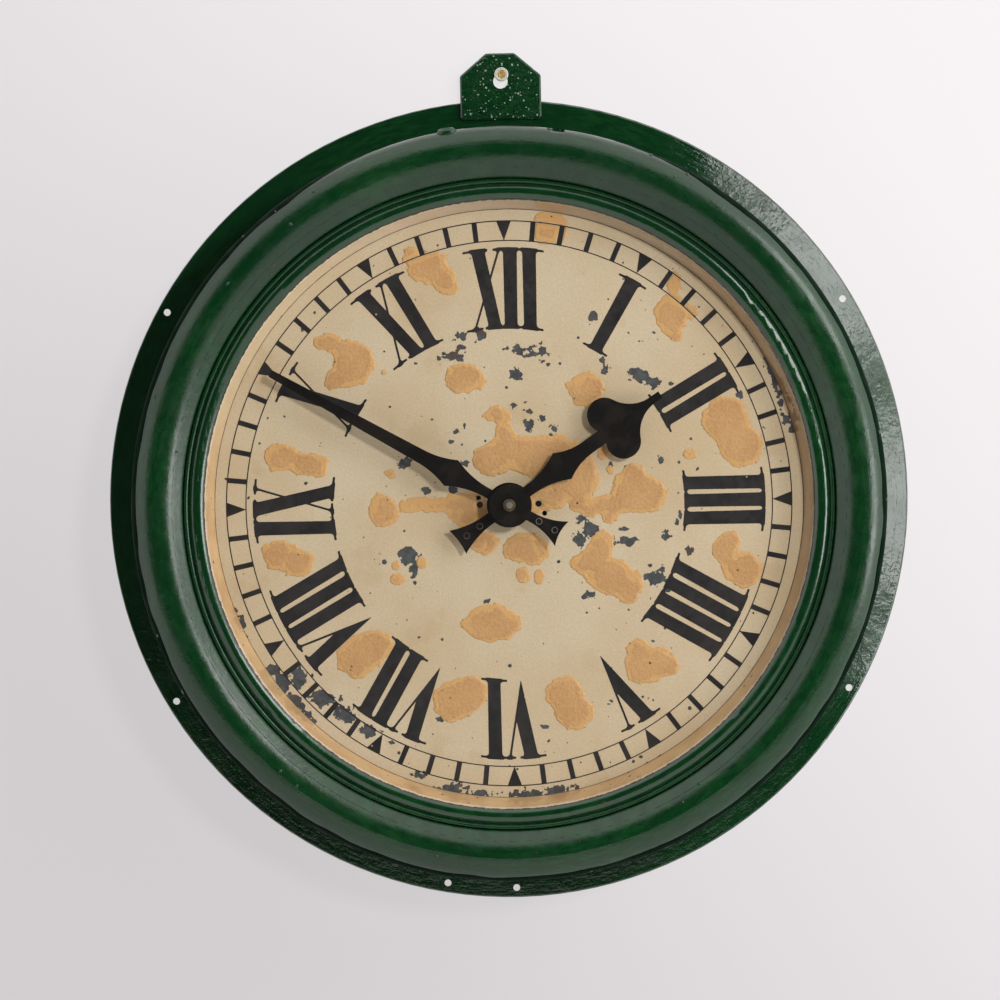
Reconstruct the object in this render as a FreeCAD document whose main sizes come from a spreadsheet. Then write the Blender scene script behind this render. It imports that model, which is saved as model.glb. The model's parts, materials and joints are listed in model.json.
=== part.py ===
import FreeCAD, Part
import math
import os
import re

import Sketcher
from FreeCAD import Placement, Rotation, Vector

# Round wall-hung slave clock: a spun steel drum with a wall flange and a rolled front, a bezel ring
# that carries the painted dial, and behind the dial an electric step movement that turns the hands.
#
# Row frame: +Z up, front towards -Y, the wall at y = 0, the origin on the dial axis at the wall.
# Most pieces are drawn in the face frame: x right, y up and z the height above the wall.

# Driving dimensions, in millimetres unless the name ends in angle, teeth or count.
SIZES = [
    # Wall flange
    ("flange_rim", 21.0),
    ("flange_lap", 10.0),
    ("flange_thickness", 2.0),
    ("flange_hole_inset", 6.0),
    ("flange_hole", 4.2),
    ("spare_hole_angle", 190.2),
    # Drum with its rolled front
    ("drum_wall", 1.5),
    ("roll_radius", 15.25),
    ("ledge_width", 7.5),
    ("ledge_drop", 2.75),
    ("lead_hole", 10.7),
    ("lead_hole_offset", 31.6),
    ("lead_hole_lift", 4.4),
    # Hanging bracket
    ("bracket_width", 49.0),
    ("bracket_lap", 12.0),
    ("bracket_rise", 28.0),
    ("bracket_shoulder", 13.5),
    ("bracket_crown", 17.2),
    ("bracket_thickness", 3.0),
    ("bracket_corner", 2.5),
    ("bracket_bevel", 1.0),
    ("hanging_hole", 8.8),
    ("hanging_hole_inset", 17.0),
    ("rivet_spacing", 20.8),
    ("rivet_shank", 3.4),
    ("rivet_head", 5.5),
    ("rivet_rise", 1.2),
    # Dial and the bezel ring round it
    ("dial_radius", 177.8),
    ("dial_thickness", 1.2),
    ("dial_setback", 8.0),
    ("dial_hole_gap", 2.5),
    ("dial_lap", 3.8),
    ("sight_flare", 4.2),
    ("sight_depth", 14.5),
    ("bezel_crest_rise", 3.5),
    ("bead_width", 2.4),
    ("bead_base", 4.0),
    ("skirt_drop", 2.8),
    ("skirt_width", 5.0),
    ("skirt_gap", 0.9),
    ("seat_gap", 0.3),
    ("pip_hole", 3.0),
    ("pip_hole_depth", 1.6),
    ("pip_hole_angle", 120.9),
    ("bezel_screw", 3.0),
    ("bezel_screw_head", 5.6),
    ("bezel_screw_head_rise", 1.8),
    ("bezel_screw_bite", 3.2),
    ("clip_width", 12.0),
    ("clip_thickness", 1.0),
    ("clip_lap", 5.0),
    ("clip_screw", 2.5),
    ("clip_screw_head", 4.4),
    ("clip_screw_head_rise", 1.4),
    ("clip_screw_bite", 6.0),
    # Movement frame
    ("dial_gap", 10.8),
    ("plate_half_width", 54.0),
    ("plate_head", 20.0),
    ("plate_foot", 24.0),
    ("plate_border", 18.0),
    ("plate_corner", 8.0),
    ("plate_thickness", 2.5),
    ("plate_spacing", 26.0),
    ("pillar_inset", 6.0),
    ("pillar", 8.0),
    ("pillar_screw", 3.0),
    ("pillar_screw_head", 6.0),
    ("pillar_screw_head_rise", 1.6),
    ("pillar_screw_bite", 5.0),
    ("screw_gap", 0.05),
    ("strap_width", 16.0),
    ("window_margin", 2.0),
    ("window_corner", 5.0),
    ("magnet_window_width", 50.0),
    ("dial_pillar_gap", 1.948),
    ("dial_screw", 2.0),
    ("dial_screw_head", 3.2),
    ("dial_screw_head_rise", 0.7),
    ("dial_screw_bite", 6.5),
    ("dial_pillar", 7.0),
    ("dial_pillar_spigot", 4.0),
    ("old_hole", 3.0),
    ("old_hole_left_shift", 0.7),
    ("old_hole_left_y", 4.0),
    ("old_hole_right_shift", 3.4),
    ("old_hole_right_y", 5.7),
    # Centre arbor, hands and motion work
    ("running_gap", 0.04),
    ("press_gap", 0.02),
    ("end_gap", 0.1),
    ("bush", 8.0),
    ("bush_proud", 1.0),
    ("arbor", 3.8),
    ("arbor_pivot", 3.0),
    ("arbor_collar", 5.2),
    ("arbor_tail", 1.5),
    ("arbor_proud", 0.8),
    ("gear_module", 0.6),
    ("gear_thinning", 0.11),
    ("addendum_share", 0.75),
    ("gear_lift", 0.6),
    ("cannon_teeth", 12),
    ("minute_wheel_teeth", 36),
    ("minute_pinion_teeth", 10),
    ("hour_wheel_teeth", 40),
    ("cannon_face", 3.0),
    ("cannon_shoulder", 0.9),
    ("cannon_pipe_wall", 0.9),
    ("cannon_seat_wall", 0.4),
    ("minute_wheel_lift", 1.2),
    ("minute_wheel_thickness", 1.8),
    ("minute_pinion_face", 4.3),
    ("minute_stud", 2.9),
    ("minute_stud_flange", 6.0),
    ("minute_stud_head", 4.8),
    ("minute_stud_head_rise", 0.8),
    ("hour_wheel_thickness", 1.8),
    ("hour_pipe_wall", 1.36),
    ("hour_pipe_proud", 0.4),
    ("hour_collet_wall", 2.3),
    ("hour_collet_height", 5.0),
    ("hour_hand_lift", 7.0),
    ("hand_gap", 4.0),
    ("hand_thickness", 1.0),
    ("hand_boss", 22.0),
    ("hand_rivet", 3.4),
    ("hand_rivet_proud", 0.15),
    ("counterweight_width", 5.4),
    ("counterweight_thickness", 2.0),
    ("minute_angle", 300.0),
    ("minute_tip_gap", 14.0),
    ("minute_tip", 4.4),
    ("minute_stem", 8.2),
    ("minute_stem_run", 21.0),
    ("minute_shoulder", 17.2),
    ("minute_shoulder_run", 24.0),
    ("minute_neck", 5.8),
    ("minute_tail", 16.6),
    ("minute_tail_run", 20.2),
    ("minute_tail_hollow", 1.4),
    ("minute_rivet_run", 4.9),
    ("minute_rivet_inset", 4.7),
    ("hour_angle", 55.0),
    ("hour_tip", 4.4),
    ("hour_tip_run", 5.5),
    ("spade_width", 39.6),
    ("spade_lobe", 10.3),
    ("spade_run", 19.3),
    ("spade_point", 28.2),
    ("spade_join_angle", 64.0),
    ("hour_stem", 8.6),
    ("hour_stem_run", 18.4),
    ("hour_shoulder", 18.8),
    ("hour_shoulder_run", 23.6),
    ("hour_neck", 6.8),
    ("hour_tail", 16.9),
    ("hour_tail_run", 22.6),
    ("hour_tail_hollow", 0.9),
    ("hour_rivet_run", 6.5),
    ("hour_rivet_inset", 6.6),
    ("neck_clearance", 1.8),
    ("hub", 26.4),
    ("hub_rim", 1.2),
    ("hub_face", 24.0),
    ("hub_face_rise", 1.4),
    ("nut", 7.3),
    ("nut_height", 2.4),
    # Ratchet wheel, its drive lever and its pawls
    ("ratchet_radius", 30.0),
    ("ratchet_teeth", 120),
    ("ratchet_depth", 0.9),
    ("ratchet_setback", 11.0),
    ("ratchet_thickness", 1.5),
    ("ratchet_rim", 4.0),
    ("ratchet_hub_wall", 2.0),
    ("ratchet_spoke", 4.0),
    ("ratchet_spoke_count", 5),
    ("collet_wall", 2.0),
    ("collet_spigot_wall", 2.1),
    ("collet_height", 3.0),
    ("pawl_gap", 0.35),
    ("pawl_thickness", 2.0),
    ("pawl_boss", 4.0),
    ("lever_pivot_inset", 10.0),
    ("lever_pivot_gap", 10.0),
    ("lever_gap", 1.95),
    ("lever_thickness", 2.5),
    ("lever_boss", 6.0),
    ("lever_arm", 4.0),
    ("lever_overhang", 2.0),
    ("lever_crook", 6.0),
    ("lever_low", 5.0),
    ("lever_high", 4.0),
    ("heel", 3.0),
    ("heel_drop", 14.0),
    ("lever_arbor", 5.0),
    ("lever_arbor_seat", 4.0),
    ("lever_pivot", 2.4),
    ("lever_pivot_length", 2.8),
    ("pawl_pin", 3.0),
    ("pawl_pin_head", 5.2),
    ("pawl_pin_head_rise", 0.8),
    ("pawl_pivot_lift", 2.0),
    ("hook_angle", 70.0),
    ("hook_depth", 3.6),
    ("hook_width", 3.5),
    ("hook_back", 2.8),
    ("click_pivot_gap", 11.0),
    ("click_pivot_drop", 14.0),
    ("click_angle", 172.0),
    ("click_tip", 3.2),
    ("click_tip_slope", 0.8),
    ("click_stud", 3.6),
    ("click_stud_post", 8.0),
    ("click_stud_spigot", 4.0),
    ("click_stud_head", 6.0),
    ("click_stud_head_rise", 0.9),
    ("armature_length", 48.0),
    ("armature_height", 6.0),
    ("armature_depth", 8.5),
    ("armature_screw", 2.0),
    ("armature_screw_head", 4.0),
    ("armature_screw_head_rise", 1.4),
    ("armature_screw_bite", 5.0),
    ("armature_screw_inset", 12.0),
    ("spring_gap", 0.5),
    ("spring_thickness", 0.5),
    ("spring_width", 5.0),
    ("spring_length", 28.0),
    ("spring_lap", 3.0),
    ("spring_post_width", 5.0),
    ("spring_post_height", 10.0),
    ("stop_below_pawl", 12.0),
    ("stop_gap", 0.1),
    ("stop_block_offset", 2.2),
    ("stop_block_width", 3.2),
    ("stop_block_height", 9.0),
    ("stop_block_depth", 14.0),
    ("stop_screw", 2.4),
    ("stop_screw_head", 4.6),
    ("stop_screw_head_rise", 2.2),
    # Electromagnet and its terminals
    ("bobbin_gap", 1.0),
    ("core_spacing", 28.0),
    ("core", 8.0),
    ("pole", 11.0),
    ("pole_rise", 1.6),
    ("pole_gap", 2.0),
    ("coil_length", 25.4),
    ("bobbin", 19.0),
    ("bobbin_cheek", 1.6),
    ("bobbin_tube", 10.0),
    ("winding", 18.0),
    ("yoke_length", 48.0),
    ("yoke_height", 6.0),
    ("yoke_screw", 2.6),
    ("yoke_screw_head", 5.0),
    ("yoke_screw_head_rise", 1.4),
    ("yoke_screw_bite", 6.0),
    ("yoke_screw_inset", 5.0),
    ("block_length", 46.0),
    ("block_height", 14.0),
    ("block_depth", 10.0),
    ("block_inset", 3.0),
    ("block_screw", 2.6),
    ("block_screw_head", 4.8),
    ("block_screw_head_rise", 1.4),
    ("block_screw_inset", 4.5),
    ("terminal_spacing", 16.0),
    ("terminal_stud", 4.0),
    ("terminal_stud_proud", 5.5),
    ("terminal_wall_gap", 3.5),
    ("terminal_nut", 7.2),
    ("terminal_nut_rise", 2.5),
    ("lead", 1.0),
    ("lead_standoff", 7.0),
    # Overrun of every cut
    ("overrun", 1.0),
]

# Sizes that follow from the driving ones.
FORMULAS = [
    # Radii, from the dial outwards
    ("seat_radius", "dial_radius + seat_gap"),
    ("skirt_radius", "seat_radius + skirt_width"),
    ("ledge_radius", "skirt_radius + skirt_gap"),
    ("groove_radius", "ledge_radius + ledge_width"),
    ("roll_mid", "groove_radius + roll_radius"),
    ("drum_radius", "roll_mid + roll_radius"),
    ("flange_radius", "drum_radius + flange_rim"),
    ("flange_bore", "drum_radius - flange_lap"),
    ("hole_circle", "flange_radius - flange_hole_inset"),
    ("bracket_top", "flange_radius + bracket_rise"),
    ("hanging_hole_y", "bracket_top - hanging_hole_inset"),
    ("sight_radius", "dial_radius - dial_lap"),
    ("lip_radius", "sight_radius + sight_flare"),
    ("bezel_radius", "groove_radius - seat_gap"),
    ("bead_foot", "bezel_radius - bead_width"),
    ("crest_radius", "(lip_radius + bead_foot) / 2"),
    ("bezel_screw_circle", "(ledge_radius + bead_foot) / 2"),
    ("clip_circle", "(seat_radius + skirt_radius) / 2"),
    # Heights, from the wall outwards
    ("bracket_front", "flange_thickness + bracket_thickness"),
    ("block_back", "terminal_wall_gap + terminal_stud_proud"),
    ("back_plate_back", "block_back + block_depth"),
    ("back_plate_front", "back_plate_back + plate_thickness"),
    ("front_plate_back", "back_plate_front + plate_spacing"),
    ("front_plate_front", "front_plate_back + plate_thickness"),
    ("dial_back", "front_plate_front + dial_gap"),
    ("dial_height", "dial_back + dial_thickness"),
    ("ledge_front", "dial_height + dial_setback"),
    ("roll_height", "ledge_front + ledge_drop"),
    ("lip_height", "dial_height + sight_depth"),
    ("crest_height", "lip_height + bezel_crest_rise"),
    ("bead_height", "ledge_front + bead_base"),
    ("skirt_back", "dial_back - skirt_drop"),
    # Motion work and hands
    ("cannon_pipe", "arbor + 2 * cannon_pipe_wall"),
    ("cannon_seat", "arbor + 2 * cannon_seat_wall"),
    ("hour_pipe", "cannon_pipe + 2 * running_gap + 2 * hour_pipe_wall"),
    ("hour_collet", "hour_pipe + 2 * hour_collet_wall"),
    ("dial_centre_hole", "hour_collet + 2 * dial_hole_gap"),
    ("gear_centres", "gear_module * (cannon_teeth + minute_wheel_teeth) / 2"),
    ("hour_module", "2 * gear_centres / (minute_pinion_teeth + hour_wheel_teeth)"),
    ("hour_wheel_radius", "hour_module * (hour_wheel_teeth / 2 + addendum_share)"),
    ("dial_screw_offset", "hour_wheel_radius + dial_pillar_gap + dial_pillar / 2"),
    ("old_hole_left_x", "dial_screw_offset + old_hole_left_shift"),
    ("old_hole_right_x", "dial_screw_offset + old_hole_right_shift"),
    ("cannon_back", "front_plate_front + gear_lift"),
    ("minute_wheel_back", "front_plate_front + minute_wheel_lift"),
    ("minute_pinion_back", "minute_wheel_back + minute_wheel_thickness"),
    ("minute_pinion_front", "minute_pinion_back + minute_pinion_face"),
    ("hour_wheel_back", "cannon_back + cannon_face + cannon_shoulder + end_gap"),
    ("hour_hand_back", "dial_height + hour_hand_lift"),
    ("hour_hand_front", "hour_hand_back + hand_thickness"),
    ("minute_hand_back", "hour_hand_front + hand_gap"),
    ("minute_hand_front", "minute_hand_back + hand_thickness"),
    ("hub_front", "minute_hand_front + hub_rim + hub_face_rise"),
    ("neck_reach", "hub / 2 + neck_clearance"),
    ("minute_neck_reach", "neck_reach"),
    ("minute_shoulder_reach", "minute_neck_reach + minute_shoulder_run"),
    ("minute_stem_reach", "minute_shoulder_reach + minute_stem_run"),
    ("minute_length", "sight_radius - minute_tip_gap"),
    ("minute_tail_reach", "minute_neck_reach + minute_tail_run"),
    ("minute_rivet_near", "minute_neck_reach + minute_rivet_run"),
    ("minute_rivet_far", "minute_tail_reach - minute_rivet_inset"),
    ("hour_neck_reach", "neck_reach"),
    ("hour_shoulder_reach", "hour_neck_reach + hour_shoulder_run"),
    ("hour_stem_reach", "hour_shoulder_reach + hour_stem_run"),
    ("spade_reach", "hour_stem_reach + spade_run"),
    ("spade_offset", "spade_width / 2 - spade_lobe"),
    ("hour_tip_reach", "spade_reach + spade_point"),
    ("hour_length", "hour_tip_reach + hour_tip_run"),
    ("hour_tail_reach", "hour_neck_reach + hour_tail_run"),
    ("hour_rivet_near", "hour_neck_reach + hour_rivet_run"),
    ("hour_rivet_far", "hour_tail_reach - hour_rivet_inset"),
    # Ratchet, lever and pawls
    ("collet_spigot", "arbor + 2 * collet_spigot_wall"),
    ("collet", "collet_spigot + 2 * collet_wall"),
    ("ratchet_hub", "collet / 2 + ratchet_hub_wall"),
    ("ratchet_back", "back_plate_front + ratchet_setback"),
    ("ratchet_front", "ratchet_back + ratchet_thickness"),
    ("pawl_reach", "ratchet_radius + pawl_gap"),
    ("pawl_back", "ratchet_back + (ratchet_thickness - pawl_thickness) / 2"),
    ("pawl_front", "pawl_back + pawl_thickness"),
    ("click_pivot_x", "ratchet_radius + click_pivot_gap"),
    ("lever_pivot_x", "plate_half_width - lever_pivot_inset"),
    ("lever_pivot_drop", "ratchet_radius + lever_pivot_gap"),
    ("pawl_pivot_y", "ratchet_radius + pawl_pivot_lift"),
    ("lever_rise", "lever_pivot_drop + pawl_pivot_y"),
    ("lever_reach", "lever_pivot_x + armature_length / 2 + lever_overhang"),
    ("lever_back", "pawl_front + lever_gap"),
    ("lever_front", "lever_back + lever_thickness"),
    ("armature_low", "lever_pivot_drop + lever_low"),
    ("armature_screw_x", "armature_length / 2 - armature_screw_inset"),
    ("spring_x", "lever_pivot_x + heel + spring_gap"),
    ("spring_post_x", "spring_x + spring_thickness"),
    ("spring_low", "lever_pivot_drop + heel_drop - spring_lap + spring_length"),
    ("stop_rise", "lever_rise - stop_below_pawl"),
    ("lever_slope", "(lever_boss - lever_arm) / lever_rise"),
    ("lever_edge_at_stop", "lever_boss - lever_slope * (stop_rise - stop_screw / 2)"),
    ("stop_x", "lever_pivot_x + lever_edge_at_stop + stop_gap"),
    ("stop_y", "stop_rise - lever_pivot_drop"),
    ("stop_block_x", "stop_x + stop_block_offset"),
    # Electromagnet, terminals and the plates that reach round them
    ("magnet_height", "back_plate_front + bobbin / 2 + bobbin_gap"),
    ("pole_drop", "armature_low + pole_gap"),
    ("coil_drop", "pole_drop + pole_rise"),
    ("yoke_drop", "coil_drop + coil_length"),
    ("yoke_low", "yoke_drop + yoke_height"),
    ("yoke_screw_x", "yoke_length / 2 - yoke_screw_inset"),
    ("plate_top", "pawl_pivot_y + plate_head"),
    ("plate_bottom", "yoke_low + plate_foot"),
    ("pillar_x", "plate_half_width - pillar_inset"),
    ("pillar_high", "plate_top - pillar_inset"),
    ("pillar_low", "plate_bottom - pillar_inset"),
    ("window_near", "strap_width / 2"),
    ("window_far", "plate_half_width - plate_border"),
    ("window_top", "plate_top - pillar_inset * 2"),
    ("magnet_window_top", "armature_low + window_margin"),
    ("magnet_window_bottom", "yoke_drop - window_margin"),
    ("window_bottom", "magnet_window_top - strap_width"),
    ("block_drop", "plate_bottom - block_inset - block_height / 2"),
    ("block_screw_x", "block_length / 2 - block_screw_inset"),
]

# Shares chosen by eye or by gear practice.
DEDENDUM_SHARE = 1.25
FLANK_SHARES = (0.0, 0.35, 0.7, 1.0)
RATCHET_TIP_SHARE = 0.92
CLICK_BOSS_SHARES = (0.8, 0.6)
LEAD_BEND_SHARE = 0.45

PRESSURE_ANGLE = math.radians(22.5)
FLANGE_HOLE_ANGLES = (60, 120, 180, 240, 300)
BEZEL_SCREW_ANGLES = (60, 180, 300)
CLIP_ANGLES = (45, 135, 225, 315)
FULL_TURN = 360

doc = FreeCAD.newDocument("SlaveClock")
sheet = doc.addObject("Spreadsheet::Sheet", "Sizes")
cells = [(alias, str(value)) for alias, value in SIZES]
cells += [(alias, "=" + formula) for alias, formula in FORMULAS]
for row, (alias, content) in enumerate(cells, 1):
    sheet.set(f"A{row}", alias)
    sheet.set(f"B{row}", content)
    sheet.setAlias(f"B{row}", alias)
doc.recompute()
ALIASES = {alias for alias, content in cells}
subparts = []


def value(formula):
    """The number that a formula of sheet names has now."""
    return float(sheet.evalExpression(formula))


def bind(owner, path, formula):
    """Tie a property or a constraint to a formula of sheet names."""
    named = re.sub(r"[a-z_]+", lambda m: "Sizes." + m[0] if m[0] in ALIASES else m[0], formula)
    owner.setExpression(path, named)


def on_circle(radius, angle):
    """Place on a circle, with the angle clockwise from the top of the dial."""
    return f"{radius} * sin({angle})", f"{radius} * cos({angle})"


def minus(formula):
    """The same formula with its sign turned."""
    return "0" if formula == "0" else f"-({formula})"


# Turning the face frame into the row frame, and the frames of pieces that stand up or lie sideways.
FACE = Rotation(Vector(1, 0, 0), 90)
UPRIGHT = Rotation()
SIDEWAYS = Rotation(Vector(0, 1, 0), 90)


def new_body(label, turn=FACE):
    """Empty body of one sub-part in its frame."""
    body = doc.addObject("PartDesign::Body", label)
    body.Label = label
    body.Placement = Placement(Vector(0, 0, 0), turn)
    subparts.append(body)
    return body


def new_sketch(body, role="XY_Plane", lift=None):
    """Sketch on one of the body's own planes, lifted along the plane's normal by a formula."""
    plane = next(f for f in body.Origin.OriginFeatures if f.Role == role)
    sketch = body.newObject("Sketcher::SketchObject", body.Label + "_sketch")
    sketch.AttachmentSupport = [(plane, "")]
    sketch.MapMode = "FlatFace"
    if lift and lift != "0":
        bind(sketch, "AttachmentOffset.Base.z", lift)
    return sketch


def fix_point(sketch, geometry, position, place):
    """Hold one point of a sketch at a place given by two formulas."""
    for kind, axis, formula in (("DistanceX", -2, place[0]), ("DistanceY", -1, place[1])):
        if formula == "0":
            sketch.addConstraint(Sketcher.Constraint("PointOnObject", geometry, position, axis))
            continue
        index = sketch.addConstraint(
            Sketcher.Constraint(kind, -1, 1, geometry, position, value(formula))
        )
        bind(sketch, f"Constraints[{index}]", formula)


def draw_outline(sketch, corners):
    """Closed outline. A corner is (x, y), or (x, y, radius, turn) where an arc starts there."""
    ends = []
    count = len(corners)
    for index, corner in enumerate(corners):
        start = Vector(value(corner[0]), value(corner[1]), 0)
        after = corners[(index + 1) % count]
        end = Vector(value(after[0]), value(after[1]), 0)
        if len(corner) == 2:
            ends.append((sketch.addGeometry(Part.LineSegment(start, end)), 1, 2))
            continue
        radius = value(corner[2])
        chord = end - start
        left = Vector(-chord.y, chord.x, 0).normalize()
        rise = math.sqrt(max(radius**2 - (chord.Length / 2) ** 2, 0))
        sign = 1 if corner[3] == "left" else -1
        centre = (start + end) * 0.5 + left * (sign * rise)
        first, last = (start, end) if sign > 0 else (end, start)
        angles = [math.atan2(p.y - centre.y, p.x - centre.x) for p in (first, last)]
        arc = Part.ArcOfCircle(Part.Circle(centre, Vector(0, 0, 1), radius), *angles)
        geometry = sketch.addGeometry(arc)
        ends.append((geometry, 1, 2) if sign > 0 else (geometry, 2, 1))
    for index, (geometry, start_end, far_end) in enumerate(ends):
        following, next_start, next_far = ends[(index + 1) % count]
        sketch.addConstraint(
            Sketcher.Constraint("Coincident", geometry, far_end, following, next_start)
        )
        fix_point(sketch, geometry, start_end, corners[index][:2])
        if len(corners[index]) > 2:
            radius = corners[index][2]
            bent = sketch.addConstraint(Sketcher.Constraint("Radius", geometry, value(radius)))
            bind(sketch, f"Constraints[{bent}]", radius)


def draw_circles(sketch, places, diameter):
    """Circles of one diameter at several places."""
    for place in places:
        centre = Vector(value(place[0]), value(place[1]), 0)
        circle = Part.Circle(centre, Vector(0, 0, 1), value(diameter) / 2)
        geometry = sketch.addGeometry(circle)
        index = sketch.addConstraint(Sketcher.Constraint("Diameter", geometry, value(diameter)))
        bind(sketch, f"Constraints[{index}]", diameter)
        fix_point(sketch, geometry, 3, place)


def pad(body, sketch, length):
    """Raise a sketch by a length."""
    feature = body.newObject("PartDesign::Pad", body.Label + "_pad")
    feature.Profile = sketch
    bind(feature, "Length", length)
    return feature


def drill(body, places, diameter):
    """Holes right through a flat piece."""
    sketch = new_sketch(body)
    draw_circles(sketch, places, diameter)
    cut = body.newObject("PartDesign::Pocket", body.Label + "_holes")
    cut.Profile = sketch
    cut.Type = "ThroughAll"
    cut.SideType = "Symmetric"
    return cut


def revolved(label, corners):
    """Body of revolution about the dial axis, from (radius, height) corners."""
    body = new_body(label)
    sketch = new_sketch(body, "XZ_Plane")
    draw_outline(sketch, corners)
    turned_form = body.newObject("PartDesign::Revolution", label + "_turn")
    turned_form.Profile = sketch
    turned_form.ReferenceAxis = (sketch, ["V_Axis"])
    turned_form.Angle = FULL_TURN
    return body


def flat(label, corners, back, thickness, windows=(), turn=FACE):
    """Flat plate with its back face at a height, and window outlines cut through it."""
    body = new_body(label, turn)
    sketch = new_sketch(body, lift=back)
    for outline in (corners, *windows):
        draw_outline(sketch, outline)
    pad(body, sketch, thickness)
    return body


def turned(label, places, steps, turn=FACE):
    """Lathe work at one or more places: steps of (diameter, bore or None, start, end)."""
    body = new_body(label, turn)
    for diameter, bore, start, end in steps:
        sketch = new_sketch(body, lift=start)
        draw_circles(sketch, places, diameter)
        if bore:
            draw_circles(sketch, places, bore)
        pad(body, sketch, f"({end}) - ({start})")
    return body


def set_shape(label, shape, turn=FACE):
    """Sub-part whose shape comes from a formula of its own."""
    feature = doc.addObject("Part::Feature", label)
    feature.Label = label
    feature.Shape = shape
    feature.Placement = Placement(Vector(0, 0, 0), turn)
    subparts.append(feature)
    return feature


def tangent_radius(across, along):
    """Radius of an arc that leaves a line parallel to the axis and reaches a point beside it."""
    return f"(({across})^2 + ({along})^2) / (2 * ({across}))"


def rectangle(left, low, right, high, corner=None):
    """Outline of a rectangle, with round corners where a radius is given."""
    if corner is None:
        return [(left, low), (right, low), (right, high), (left, high)]
    return [
        (f"({left}) + {corner}", low),
        (f"({right}) - {corner}", low, corner, "left"),
        (right, f"({low}) + {corner}"),
        (right, f"({high}) - {corner}", corner, "left"),
        (f"({right}) - {corner}", high),
        (f"({left}) + {corner}", high, corner, "left"),
        (left, f"({high}) - {corner}"),
        (left, f"({low}) + {corner}", corner, "left"),
    ]


def mirrored(right_side):
    """Whole outline from its right side, listed from the bottom up."""
    left_side = []
    for index in range(len(right_side) - 1, -1, -1):
        x, y = right_side[index][:2]
        arc = right_side[index - 1][2:] if index else ()
        left_side.append((minus(x), y, *arc))
    return right_side + left_side


def edges_along(feature, direction):
    """Names of a feature's straight edges that run along a direction."""
    names = []
    for index, edge in enumerate(feature.Shape.Edges, 1):
        run = edge.Vertexes[-1].Point - edge.Vertexes[0].Point
        if run.Length and abs(run.normalize().dot(direction)) > 1 - Part.Precision.confusion():
            names.append(f"Edge{index}")
    return names


def rim_of_top(feature):
    """Names of the outer edges of the face that lies highest along the body's own z axis."""
    top = max(feature.Shape.Faces, key=lambda face: face.CenterOfMass.z)
    rim = top.OuterWire.Edges
    names = []
    for index, edge in enumerate(feature.Shape.Edges, 1):
        if any(edge.isSame(side) for side in rim):
            names.append(f"Edge{index}")
    return names


# Wall flange: a flat ring with a rounded rim, its screw holes and the bracket's rivet holes
def make_flange():
    half = "flange_thickness / 2"
    rim = f"flange_radius - {half}"
    body = revolved(
        "wall_flange",
        [
            ("flange_bore", "0"),
            (rim, "0", half, "left"),
            ("flange_radius", half, half, "left"),
            (rim, "flange_thickness"),
            ("flange_bore", "flange_thickness"),
        ],
    )
    holes = [on_circle("hole_circle", angle) for angle in FLANGE_HOLE_ANGLES]
    holes.append(on_circle("hole_circle", "spare_hole_angle"))
    drill(body, holes, "flange_hole")
    body.Tip = drill(body, rivet_places(), "rivet_shank + 2 * press_gap")


def rivet_places():
    """The bracket's two rivets, on the flange's hole circle height."""
    return [("-rivet_spacing / 2", "hole_circle"), ("rivet_spacing / 2", "hole_circle")]


# Drum: a spun shell whose front rolls over into a groove and a ledge for the bezel ring
def make_drum():
    inner_roll = "roll_radius - drum_wall"
    groove_back = "groove_radius + drum_wall"
    body = revolved(
        "case_drum",
        [
            ("drum_radius", "flange_thickness"),
            ("drum_radius", "roll_height", "roll_radius", "left"),
            ("roll_mid", "roll_height + roll_radius", "roll_radius", "left"),
            ("groove_radius", "roll_height"),
            ("groove_radius", "ledge_front"),
            ("ledge_radius", "ledge_front"),
            ("ledge_radius", "ledge_front - drum_wall"),
            (groove_back, "ledge_front - drum_wall"),
            (groove_back, "roll_height", inner_roll, "right"),
            ("roll_mid", f"roll_height + {inner_roll}", inner_roll, "right"),
            ("drum_radius - drum_wall", "roll_height"),
            ("drum_radius - drum_wall", "flange_thickness"),
        ],
    )
    screw_holes = [on_circle("bezel_screw_circle", angle) for angle in BEZEL_SCREW_ANGLES]
    drill(body, screw_holes, "bezel_screw + 2 * screw_gap")
    # The lead hole in the top of the roll is bored straight down, past the roll's own wall.
    sketch = new_sketch(body, "XZ_Plane", "-(drum_radius + overrun)")
    draw_circles(sketch, [("lead_hole_offset", "roll_height + lead_hole_lift")], "lead_hole")
    bore = body.newObject("PartDesign::Pocket", "lead_hole_bore")
    bore.Profile = sketch
    bind(bore, "Length", "overrun + roll_radius")
    bore.Reversed = True
    body.Tip = bore


# Hanging bracket: a plate with cut-off shoulders, riveted on the flange's face
def make_bracket():
    half = "bracket_width / 2"
    crown = "bracket_crown / 2"
    right_side = [
        (half, "flange_radius - bracket_lap"),
        (half, "bracket_top - bracket_shoulder"),
        (crown, "bracket_top"),
    ]
    body = flat("hanging_bracket", mirrored(right_side), "flange_thickness", "bracket_thickness")
    drill(body, [("0", "hanging_hole_y")], "hanging_hole")
    holes = drill(body, rivet_places(), "rivet_shank + 2 * press_gap")
    doc.recompute()
    corners = body.newObject("PartDesign::Fillet", "bracket_corners")
    corners.Base = (holes, edges_along(holes, Vector(0, 0, 1)))
    bind(corners, "Radius", "bracket_corner")
    doc.recompute()
    bevel = body.newObject("PartDesign::Chamfer", "bracket_bevel_edge")
    bevel.Base = (corners, rim_of_top(corners))
    bind(bevel, "Size", "bracket_bevel")
    body.Tip = bevel
    turned(
        "bracket_rivets",
        rivet_places(),
        [
            ("rivet_shank", None, "0", "bracket_front"),
            ("rivet_head", None, "bracket_front", "bracket_front + rivet_rise / 2"),
            ("rivet_head - rivet_rise", None, "bracket_front", "bracket_front + rivet_rise"),
        ],
    )


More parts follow.
